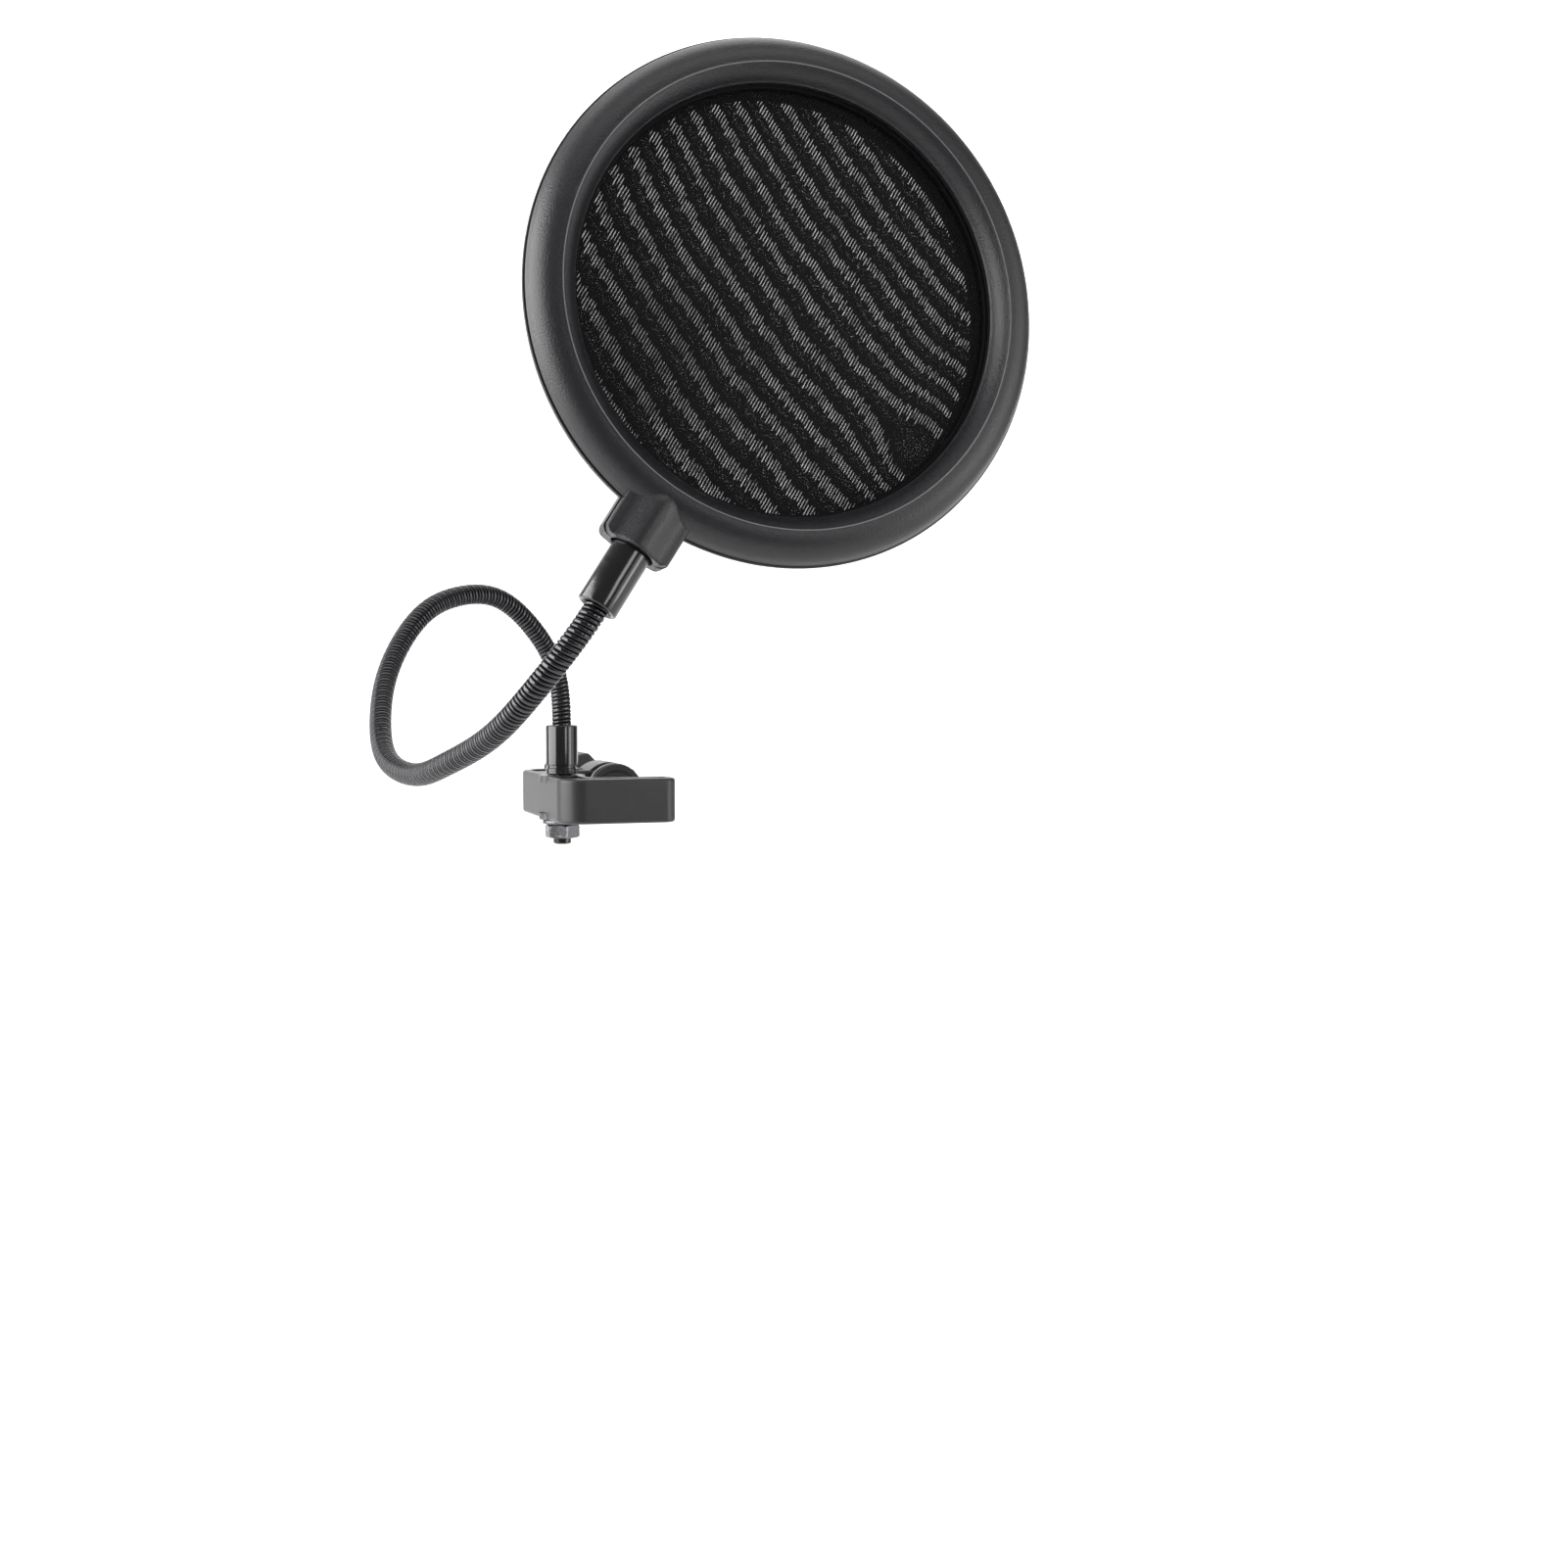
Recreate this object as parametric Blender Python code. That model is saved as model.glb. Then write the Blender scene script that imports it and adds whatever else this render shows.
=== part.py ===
"""Dual-layer pop filter on a gooseneck with a screw clamp.

Axes: +Z up, -Y is the side that faces the speaker, +X to the right seen from there.
Origin: centre of the fixed jaw's rubber face. Lengths in the constants are in millimetres
and are turned into metres where a mesh or an object is made.
"""

import math

import bmesh
import bpy
import numpy as np
from mathutils import Matrix, Vector

MM = 0.001
GAP = 0.3                       # clearance between neighbouring solids

# Filter head
HEAD_CENTRE = Vector((-2.0, -149.0, 131.0))
HEAD_TILT = 5.8                 # degrees the face leans back
HEAD_SEGMENTS = 48
RING_RADIUS = 65.0
LIP_RADIUS = 53.2
HOOP_RADIUS = 52.4
POCKET_RADIUS = 57.0
POCKET_WALL = 1.6
SHELL_WALL = 1.7
FRONT_RIDGE = (57.0, 7.27)      # radius and height above the seam
REAR_RIDGE = (57.5, 9.6)
FRONT_LIP = (3.27, 1.9)         # outer and inner height of the lip
REAR_LIP = (8.7, 7.7)
MESH_THICKNESS = 0.5
MESH_TOPS = {"front_mesh": -0.3, "rear_mesh": -4.6}
HOOP_SPANS = {"front_hoop": (0.0, 1.6), "spacer_ring": (-4.3, -1.1), "rear_hoop": (-7.4, -5.4)}

# Boss that joins the two shells round the ferrule
BOSS_ANGLE = 236.6              # degrees round the face, from +X
BOSS_SPAN = (60.0, 74.0)        # from the disc's centre
BOSS_WIDTH = 17.6
BOSS_SIDE_HEIGHT = 4.0
BOSS_CORNER = 1.2
BOSS_END_CORNER = 2.5
BARREL_RADIUS = 7.6
BOSS_BORE = 5.4
FLANGE_POCKET = (6.7, 61.3, 64.0)

# Gooseneck and its ferrules
FERRULE_RADIUS = 5.1
FERRULE_BORE = 3.5
FERRULE_MOUTH = 90.2            # distance of the upper ferrule's mouth from the disc's centre
NECK_RADIUS = 3.1
SOCKET_RADIUS = 3.4
NECK_HINGES = 8
NECK_END = 17.0                 # neck length between a ferrule's mouth and the nearest hinge
NECK_STUB = 9.0                 # length hidden in the lower ferrule
NECK_TOP_STUB = 20.0
NECK_SIDES = 12
NECK_STEP = 4.0
# Middle of the gooseneck from the clamp up, between its two ferrules
NECK_ROUTE = [
    (-24, 14, 41), (-32, 11, 54), (-44, 6, 63), (-58, -2, 63), (-69, -11, 58),
    (-78, -20, 48), (-84, -31, 37), (-87, -43, 27), (-88, -58, 18), (-86, -75, 14),
    (-83, -92, 14), (-80, -108, 17), (-75, -125, 22), (-70, -141, 29), (-62.5, -153, 40.7),
]

# Clamp
NECK_BASE = Vector((-22.0, 14.0, 23.0))     # centre of the lower ferrule's mouth
FRAME_HALF_HEIGHT = 7.0
STUD_RADIUS = 2.9
NUT_ACROSS_FLATS = 10.0
JAW_OPENING = 30.0
PAD_THICKNESS = 2.5
PAD_HALF = (8.5, 6.5)
SCREW_RADIUS = 3.7
SCREW_TIP_RADIUS = 2.7
INSERT_RADIUS = 6.0
SCREW_BOSS_RADIUS = 9.5
FAR_JAW = (40.0, 54.0)
SCREW_BOSS_END = 56.5
KNOB_SPAN = (84.5, 101.0)
KNOB_RADIUS = 11.0
KNOB_LOBES = 10
KNOB_LOBE_DEPTH = 0.9


# ---------------------------------------------------------------- helpers

def clear_scene():
    for obj in list(bpy.data.objects):
        bpy.data.objects.remove(obj, do_unlink=True)


def material(name, colour, roughness, metallic):
    made = bpy.data.materials.new(name)
    made.use_nodes = True
    shader = made.node_tree.nodes["Principled BSDF"]
    shader.inputs["Base Color"].default_value = (*colour, 1.0)
    shader.inputs["Roughness"].default_value = roughness
    shader.inputs["Metallic"].default_value = metallic
    made.diffuse_color = (*colour, 1.0)
    return made


def empty(name, location, rotation=(0.0, 0.0, 0.0), parent=None):
    made = bpy.data.objects.new(name, None)
    bpy.context.collection.objects.link(made)
    made.location = Vector(location) * MM
    made.rotation_euler = rotation
    made.parent = parent
    return made


def finish_object(name, bm, finish, parent=None, rotation=(0.0, 0.0, 0.0), sharp=30.0):
    """Millimetre bmesh to a named object in metres, shaded smooth but for its sharp edges."""
    bmesh.ops.remove_doubles(bm, verts=bm.verts, dist=1e-4)
    bmesh.ops.recalc_face_normals(bm, faces=bm.faces)
    bmesh.ops.scale(bm, vec=(MM, MM, MM), verts=bm.verts)
    mesh = bpy.data.meshes.new(name)
    bm.to_mesh(mesh)
    bm.free()
    mesh.shade_smooth()
    mesh.set_sharp_from_angle(angle=math.radians(sharp))
    if finish:
        mesh.materials.append(finish)
    made = bpy.data.objects.new(name, mesh)
    bpy.context.collection.objects.link(made)
    made.parent = parent
    made.rotation_euler = rotation
    return made


def turned_bmesh(outline, segments):
    """Spin an outline of (radius, height) points round Z; an end on the axis closes itself."""
    bm = bmesh.new()
    verts = [bm.verts.new((radius, 0.0, height)) for radius, height in outline]
    edges = [bm.edges.new(pair) for pair in zip(verts, verts[1:])]
    if outline[0][0] > 0.0:
        edges.append(bm.edges.new((verts[-1], verts[0])))
    bmesh.ops.spin(bm, geom=verts + edges, cent=(0, 0, 0), axis=(0, 0, 1),
                   angle=math.tau, steps=segments, use_merge=True)
    return bm


def extruded_bmesh(outline, low, high):
    """Extrude a flat outline of (x, y) points from z = low to z = high."""
    bm = bmesh.new()
    face = bm.faces.new([bm.verts.new((x, y, low)) for x, y in outline])
    grown = bmesh.ops.extrude_face_region(bm, geom=[face])
    top = [item for item in grown["geom"] if isinstance(item, bmesh.types.BMVert)]
    bmesh.ops.translate(bm, verts=top, vec=(0, 0, high - low))
    return bm


def rounded_outline(corners, steps=4):
    """Polygon through (x, y, corner radius) points with every corner turned into an arc."""
    points = []
    count = len(corners)
    for index, (x, y, radius) in enumerate(corners):
        corner = Vector((x, y))
        before = (Vector(corners[index - 1][:2]) - corner).normalized()
        after = (Vector(corners[(index + 1) % count][:2]) - corner).normalized()
        if radius == 0.0:
            points.append((x, y))
            continue
        half = before.angle(after) / 2
        centre = corner + (before + after).normalized() * (radius / math.sin(half))
        start = (corner + before * (radius / math.tan(half)) - centre).normalized()
        end = (corner + after * (radius / math.tan(half)) - centre).normalized()
        for step in range(steps + 1):
            points.append(tuple(centre + start.slerp(end, step / steps) * radius))
    return points


def boolean(target, operand, operation):
    operand.hide_render = True
    operand.display_type = "WIRE"
    modifier = target.modifiers.new(operation.lower() + "_" + operand.name, "BOOLEAN")
    modifier.operation = operation
    modifier.solver = "EXACT"
    modifier.object = operand


def bevel(target, width, segments=2, angle=40.0):
    modifier = target.modifiers.new("bevel", "BEVEL")
    modifier.width = width * MM
    modifier.segments = segments
    modifier.limit_method = "ANGLE"
    modifier.angle_limit = math.radians(angle)
    modifier.use_clamp_overlap = True


# ---------------------------------------------------------------- filter head

def shell_outline(ridge, lip, side):
    """Section of one ring shell: rounded band, ridge, bevelled lip, hoop pocket, open channel."""
    ridge_radius, ridge_height = ridge
    lip_outer, lip_inner = lip
    band_width = RING_RADIUS - ridge_radius
    channel_inner = POCKET_RADIUS + POCKET_WALL
    seam = GAP / 2
    steps = 6
    band = [(ridge_radius + band_width * math.cos(math.radians(15 * step)),
             seam + (ridge_height - seam) * math.sin(math.radians(15 * step)))
            for step in range(steps + 1)]
    inner_band = [(ridge_radius + (band_width - SHELL_WALL) * math.cos(math.radians(angle)),
                   (ridge_height - SHELL_WALL - 0.3) * math.sin(math.radians(angle)))
                  for angle in (60, 28)]
    section = band + [
        (LIP_RADIUS, lip_outer), (LIP_RADIUS, lip_inner),
        (POCKET_RADIUS, lip_inner), (POCKET_RADIUS, seam),
        (channel_inner, seam), (channel_inner, inner_band[0][1]),
        *inner_band, (RING_RADIUS - SHELL_WALL, seam),
    ]
    return [(radius, side * height) for radius, height in section]


def boss_section(side):
    """Half of the boss seen along the neck: low shoulders with a round barrel between them."""
    half = BOSS_WIDTH / 2
    seam = GAP / 2
    top = BOSS_SIDE_HEIGHT
    start = math.asin(top / BARREL_RADIUS)
    steps = 8
    arc = [start + (math.pi - 2 * start) * step / steps for step in range(steps + 1)]
    section = [(half, seam), (half, top - BOSS_CORNER), (half - BOSS_CORNER, top)]
    section += [(BARREL_RADIUS * math.cos(angle), BARREL_RADIUS * math.sin(angle)) for angle in arc]
    section += [(BOSS_CORNER - half, top), (-half, top - BOSS_CORNER), (-half, seam)]
    return [(across, side * height) for across, height in section]


def boss_turn():
    """Turns a solid built along Z so that it lies along the boss, its X across the boss."""
    along = Matrix.Rotation(math.radians(BOSS_ANGLE), 4, "Z")
    upright = Matrix(((0, 0, 1, 0), (-1, 0, 0, 0), (0, -1, 0, 0), (0, 0, 0, 1)))
    return along @ upright


def make_boss_half(name, side, parent):
    bm = extruded_bmesh([(x, -y) for x, y in boss_section(side)], *BOSS_SPAN)
    corners = [edge for edge in bm.edges
               if all(abs(v.co.z - BOSS_SPAN[1]) < 1e-4 for v in edge.verts)
               and all(abs(abs(v.co.x) - BOSS_WIDTH / 2) < 1e-4 for v in edge.verts)
               and abs(edge.verts[0].co.y - edge.verts[1].co.y) > GAP]
    bmesh.ops.bevel(bm, geom=corners, offset=BOSS_END_CORNER, segments=3, affect="EDGES", profile=0.5)
    bmesh.ops.transform(bm, matrix=boss_turn(), verts=bm.verts)
    return finish_object(name, bm, None, parent)


def make_bore_cutter(name, parent):
    """Clearance for the ferrule and its flange, one turned solid through both boss halves."""
    radius, low, high = FLANGE_POCKET
    outline = [(0.0, low), (radius, low), (radius, high), (BOSS_BORE, high),
               (BOSS_BORE, BOSS_SPAN[1] + 4.0), (0.0, BOSS_SPAN[1] + 4.0)]
    bm = turned_bmesh(outline, 32)
    bmesh.ops.transform(bm, matrix=boss_turn(), verts=bm.verts)
    return finish_object(name, bm, None, parent)


def make_shells(head, finish):
    for name, ridge, lip, side in (("front_shell", FRONT_RIDGE, FRONT_LIP, 1),
                                   ("rear_shell", REAR_RIDGE, REAR_LIP, -1)):
        shell = finish_object(name, turned_bmesh(shell_outline(ridge, lip, side), HEAD_SEGMENTS),
                              finish, head)
        boolean(shell, make_boss_half(name + "_boss_guide", side, head), "UNION")
        boolean(shell, make_bore_cutter(name + "_bore_cutter", head), "DIFFERENCE")


def make_hoops(head, finish):
    outer = POCKET_RADIUS - GAP
    for name, (low, high) in HOOP_SPANS.items():
        outline = [(HOOP_RADIUS, low), (outer, low), (outer, high), (HOOP_RADIUS, high)]
        finish_object(name, turned_bmesh(outline, HEAD_SEGMENTS), finish, head)


def make_meshes(head, finish):
    outer = POCKET_RADIUS - GAP
    for name, top in MESH_TOPS.items():
        outline = [(0.0, top - MESH_THICKNESS), (outer, top - MESH_THICKNESS),
                   (outer, top), (0.0, top)]
        finish_object(name, turned_bmesh(outline, HEAD_SEGMENTS), finish, head)


def make_upper_ferrule(head, finish):
    flange_radius = FLANGE_POCKET[0] - GAP
    low = FLANGE_POCKET[1] + GAP
    high = FLANGE_POCKET[2] - GAP
    outline = [(0.0, low), (flange_radius, low), (flange_radius, high), (FERRULE_RADIUS, high),
               (FERRULE_RADIUS, FERRULE_MOUTH - 0.5), (FERRULE_RADIUS - 0.5, FERRULE_MOUTH),
               (FERRULE_BORE + 0.5, FERRULE_MOUTH), (FERRULE_BORE, FERRULE_MOUTH - 0.8),
               (FERRULE_BORE, FERRULE_MOUTH - NECK_TOP_STUB - 3.0),
               (0.0, FERRULE_MOUTH - NECK_TOP_STUB - 3.0)]
    bm = turned_bmesh(outline, 32)
    bmesh.ops.transform(bm, matrix=boss_turn(), verts=bm.verts)
    finish_object("upper_ferrule", bm, finish, head)


# ---------------------------------------------------------------- gooseneck

def boss_direction():
    """Unit vector from the disc's centre along the upper ferrule, in world axes."""
    tilt = Matrix.Rotation(math.radians(90.0 - HEAD_TILT), 3, "X")
    angle = math.radians(BOSS_ANGLE)
    return tilt @ Vector((math.cos(angle), math.sin(angle), 0.0))


def smooth_curve(points, start_slope, end_slope, per_span=40):
    """Natural cubic curve through the points with its two end directions given."""
    knots = np.array([tuple(point) for point in points])
    spans = np.linalg.norm(np.diff(knots, axis=0), axis=1)
    count = len(knots)
    system = np.eye(count)
    right = np.zeros((count, 3))
    right[0] = start_slope
    right[-1] = end_slope
    for i in range(1, count - 1):
        before, after = spans[i - 1], spans[i]
        system[i, i - 1:i + 2] = after, 2 * (before + after), before
        right[i] = 3 * (after * (knots[i] - knots[i - 1]) / before
                        + before * (knots[i + 1] - knots[i]) / after)
    slopes = np.linalg.solve(system, right)
    curve = []
    for i in range(count - 1):
        for t in np.linspace(0.0, 1.0, per_span, endpoint=False):
            curve.append((2 * t**3 - 3 * t**2 + 1) * knots[i]
                         + (t**3 - 2 * t**2 + t) * spans[i] * slopes[i]
                         + (3 * t**2 - 2 * t**3) * knots[i + 1]
                         + (t**3 - t**2) * spans[i] * slopes[i + 1])
    curve.append(knots[-1])
    return np.array(curve)


class NeckPath:
    """The gooseneck's middle line, read by distance from the lower ferrule's mouth."""

    def __init__(self):
        out = boss_direction()
        self.top = HEAD_CENTRE + out * FERRULE_MOUTH
        route = [NECK_BASE, *NECK_ROUTE, self.top]
        curve = smooth_curve(route, (0.0, 0.0, 1.0), tuple(-out))
        below = np.array([tuple(NECK_BASE - Vector((0, 0, NECK_STUB)))])
        above = np.array([tuple(self.top - out * NECK_TOP_STUB)])
        self.points = np.vstack([below, curve, above])
        steps = np.linalg.norm(np.diff(self.points, axis=0), axis=1)
        self.distance = np.concatenate([[0.0], np.cumsum(steps)]) - NECK_STUB
        self.length = self.distance[-1] - NECK_TOP_STUB

    def at(self, distance):
        return Vector([np.interp(distance, self.distance, self.points[:, axis]) for axis in range(3)])

    def direction(self, distance):
        reach = 0.4
        return (self.at(distance + reach) - self.at(distance - reach)).normalized()

    def hinge(self, index):
        """Distance of hinge 0, 1, ... from the lower ferrule's mouth."""
        spacing = (self.length - 2 * NECK_END) / (NECK_HINGES - 1)
        return NECK_END + spacing * index


def ring_of_verts(bm, centre, direction, across, radius):
    up = direction.cross(across)
    return [bm.verts.new(centre + (across * math.cos(turn) + up * math.sin(turn)) * radius)
            for turn in (math.tau * side / NECK_SIDES for side in range(NECK_SIDES))]


def join_rings(bm, lower, upper):
    for side in range(NECK_SIDES):
        after = (side + 1) % NECK_SIDES
        bm.faces.new((lower[side], lower[after], upper[after], upper[side]))


def close_ring(bm, ring, point):
    tip = bm.verts.new(point)
    for side in range(NECK_SIDES):
        bm.faces.new((ring[side], ring[(side + 1) % NECK_SIDES], tip))


def link_sections(path, start, end, has_socket, has_ball):
    """(centre, direction, radius) rings of one link, plus the two points that close its ends."""
    sections = []
    first = start
    first_tip = path.at(start)
    if has_socket:
        pivot = path.at(start)
        axis = path.direction(start)
        rim = math.asin(NECK_RADIUS / SOCKET_RADIUS)
        first_tip = pivot + axis * SOCKET_RADIUS
        for angle in (rim * 0.35, rim * 0.7, rim):
            sections.append((pivot + axis * SOCKET_RADIUS * math.cos(angle), axis,
                             SOCKET_RADIUS * math.sin(angle)))
        first = start + NECK_STEP
    else:
        sections.append((path.at(start), path.direction(start), NECK_RADIUS))
        first = start + NECK_STEP
    count = max(2, round((end - first) / NECK_STEP))
    for step in range(count + 1):
        distance = first + (end - first) * step / count
        sections.append((path.at(distance), path.direction(distance), NECK_RADIUS))
    last_tip = path.at(end)
    if has_ball:
        axis = path.direction(end)
        for angle in (30.0, 60.0):
            turn = math.radians(angle)
            sections.append((path.at(end) + axis * NECK_RADIUS * math.sin(turn), axis,
                             NECK_RADIUS * math.cos(turn)))
        last_tip = path.at(end) + axis * NECK_RADIUS
    return sections, first_tip, last_tip


def make_link(name, path, start, end, has_socket, has_ball, finish):
    """One stiff stretch of gooseneck: a bent rod with a hollow lower end and a ball upper end."""
    sections, first_tip, last_tip = link_sections(path, start, end, has_socket, has_ball)
    bm = bmesh.new()
    across = sections[0][1].orthogonal().normalized()
    rings = []
    for centre, direction, radius in sections:
        across = (across - direction * across.dot(direction)).normalized()
        rings.append(ring_of_verts(bm, centre, direction, across, radius))
    for lower, upper in zip(rings, rings[1:]):
        join_rings(bm, lower, upper)
    close_ring(bm, rings[0], first_tip)
    close_ring(bm, rings[-1], last_tip)
    origin = path.at(start)
    bmesh.ops.translate(bm, verts=bm.verts, vec=-origin)
    made = finish_object(name, bm, finish)
    made.location = origin * MM
    return made


def make_gooseneck(path, finish):
    stops = [-NECK_STUB] + [path.hinge(i) for i in range(NECK_HINGES)]
    stops.append(path.length + NECK_TOP_STUB)
    for index, (start, end) in enumerate(zip(stops, stops[1:])):
        make_link(f"neck_link_{index + 1}", path, start, end,
                  index > 0, index < NECK_HINGES, finish)


# ---------------------------------------------------------------- clamp

def along_y(bm):
    """Turn a solid built along Z so that it lies along +Y."""
    bmesh.ops.rotate(bm, cent=(0, 0, 0), matrix=Matrix.Rotation(-math.pi / 2, 3, "X"), verts=bm.verts)
    return bm


def make_clamp_frame(parent, finish):
    face = -PAD_THICKNESS - GAP
    outline = rounded_outline([
        (-28, face - 10, 8), (9, face - 10, 4), (9, face, 1), (-16, face, 4),
        (-16, FAR_JAW[0], 4), (9, FAR_JAW[0], 1), (9, FAR_JAW[1], 4), (-28, FAR_JAW[1], 8),
    ])
    frame = finish_object(
        "clamp_frame", extruded_bmesh(outline, -FRAME_HALF_HEIGHT, FRAME_HALF_HEIGHT), finish, parent)
    bevel(frame, 1.0)
    screw_boss = finish_object("screw_boss_guide", along_y(turned_bmesh(
        [(0, FAR_JAW[0] + 0.4), (SCREW_BOSS_RADIUS, FAR_JAW[0] + 0.4),
         (SCREW_BOSS_RADIUS, SCREW_BOSS_END - 1.0), (SCREW_BOSS_RADIUS - 1.0, SCREW_BOSS_END),
         (0, SCREW_BOSS_END)], 32)), None, parent)
    boolean(frame, screw_boss, "UNION")
    screw_hole = finish_object("screw_hole_cutter", along_y(turned_bmesh(
        [(0, FAR_JAW[0] - 5), (INSERT_RADIUS + GAP, FAR_JAW[0] - 5),
         (INSERT_RADIUS + GAP, SCREW_BOSS_END + 5), (0, SCREW_BOSS_END + 5)], 28)), None, parent)
    boolean(frame, screw_hole, "DIFFERENCE")
    stud_hole = finish_object("stud_hole_cutter", turned_bmesh(
        [(0, -10), (STUD_RADIUS + GAP, -10), (STUD_RADIUS + GAP, 10), (0, 10)], 20), None, parent)
    stud_hole.location = (NECK_BASE.x * MM, NECK_BASE.y * MM, 0.0)
    boolean(frame, stud_hole, "DIFFERENCE")


def make_jaw_pad(parent, finish):
    half_width, half_height = PAD_HALF
    outline = rounded_outline([(-half_width, -half_height, 2), (half_width, -half_height, 2),
                               (half_width, half_height, 2), (-half_width, half_height, 2)], 3)
    bm = extruded_bmesh([(x, -y) for x, y in outline], -PAD_THICKNESS, 0.0)
    finish_object("jaw_pad", along_y(bm), finish, parent)


def make_threaded_insert(parent, finish):
    bore = SCREW_RADIUS + GAP
    flange = SCREW_BOSS_END + GAP
    outline = [(bore, FAR_JAW[0] + 1.0), (INSERT_RADIUS, FAR_JAW[0] + 1.0),
               (INSERT_RADIUS, flange), (8.0, flange), (8.0, flange + 1.5), (bore, flange + 1.5)]
    finish_object("threaded_insert", along_y(turned_bmesh(outline, 28)), finish, parent)


def make_screw(carrier, finish):
    tip = JAW_OPENING + 5.4
    shoulder = JAW_OPENING + 9.2
    outline = [(0, tip), (SCREW_TIP_RADIUS, tip), (SCREW_TIP_RADIUS, shoulder),
               (SCREW_RADIUS, shoulder + 1.0), (SCREW_RADIUS, KNOB_SPAN[1] - 4.0),
               (0, KNOB_SPAN[1] - 4.0)]
    finish_object("clamp_screw", along_y(turned_bmesh(outline, 24)), finish, carrier)


def make_knob(carrier, finish):
    low, high = KNOB_SPAN
    turns = [math.tau * step / (KNOB_LOBES * 6) for step in range(KNOB_LOBES * 6)]
    outline = [((KNOB_RADIUS - KNOB_LOBE_DEPTH * (1 - math.cos(KNOB_LOBES * turn)) / 2) * math.cos(turn),
                (KNOB_RADIUS - KNOB_LOBE_DEPTH * (1 - math.cos(KNOB_LOBES * turn)) / 2) * math.sin(turn))
               for turn in turns]
    bm = extruded_bmesh(outline, low, high)
    rims = [edge for edge in bm.edges
            if abs(edge.verts[0].co.z - edge.verts[1].co.z) < 1e-5]
    bmesh.ops.bevel(bm, geom=rims, offset=1.2, segments=2, affect="EDGES", profile=0.5)
    knob = finish_object("knob", along_y(bm), finish, carrier)
    hole = finish_object("knob_hole_cutter", along_y(turned_bmesh(
        [(0, low - 3.0), (SCREW_RADIUS + GAP, low - 3.0), (SCREW_RADIUS + GAP, high - 3.5),
         (0, high - 3.5)], 24)), None, carrier)
    boolean(knob, hole, "DIFFERENCE")


def make_foot(carrier, foot_finish, pad_finish):
    plate = JAW_OPENING + 2.0 + GAP
    collar_end = JAW_OPENING + 8.8
    bore = SCREW_TIP_RADIUS + GAP
    outline = [(0, plate), (9.5, plate), (9.5, plate + 1.7), (9.0, plate + 2.2),
               (5.8, plate + 2.5), (5.8, collar_end), (bore, collar_end), (bore, plate + 2.7),
               (0, plate + 2.7)]
    finish_object("pressure_foot", along_y(turned_bmesh(outline, 32)), foot_finish, carrier)
    pad = [(0, JAW_OPENING), (8.7, JAW_OPENING), (9.2, JAW_OPENING + 0.5),
           (9.2, JAW_OPENING + 2.0), (0, JAW_OPENING + 2.0)]
    finish_object("foot_pad", along_y(turned_bmesh(pad, 32)), pad_finish, carrier)


def make_lower_ferrule(parent, finish):
    base = FRAME_HALF_HEIGHT + GAP
    mouth = NECK_BASE.z
    floor = mouth - NECK_STUB - 1.0
    outline = [(0, -15.0), (STUD_RADIUS, -15.0), (STUD_RADIUS, base), (FERRULE_RADIUS, base),
               (FERRULE_RADIUS, mouth - 0.5), (FERRULE_RADIUS - 0.5, mouth),
               (FERRULE_BORE + 0.5, mouth), (FERRULE_BORE, mouth - 0.8), (FERRULE_BORE, floor),
               (0, floor)]
    made = finish_object("lower_ferrule", turned_bmesh(outline, 32), finish, parent)
    made.location = (NECK_BASE.x * MM, NECK_BASE.y * MM, 0.0)


def make_stud_fasteners(parent, finish):
    bore = STUD_RADIUS + GAP
    washer_top = -FRAME_HALF_HEIGHT - GAP
    washer = finish_object("lock_washer", turned_bmesh(
        [(bore, washer_top - 1.2), (6.2, washer_top - 1.2), (6.2, washer_top), (bore, washer_top)],
        28), finish, parent)
    nut_top = washer_top - 1.2 - GAP
    corner = NUT_ACROSS_FLATS / math.sqrt(3)
    hexagon = [(corner * math.cos(turn), corner * math.sin(turn))
               for turn in (math.tau * side / 6 for side in range(6))]
    nut = finish_object("lock_nut", extruded_bmesh(hexagon, nut_top - 4.2, nut_top), finish, parent)
    hole = finish_object("nut_hole_cutter", turned_bmesh(
        [(0, nut_top - 6), (bore, nut_top - 6), (bore, nut_top + 2), (0, nut_top + 2)], 20),
        None, parent)
    boolean(nut, hole, "DIFFERENCE")
    for made in (washer, nut, hole):
        made.location = (NECK_BASE.x * MM, NECK_BASE.y * MM, 0.0)


# ---------------------------------------------------------------- assembly

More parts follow.
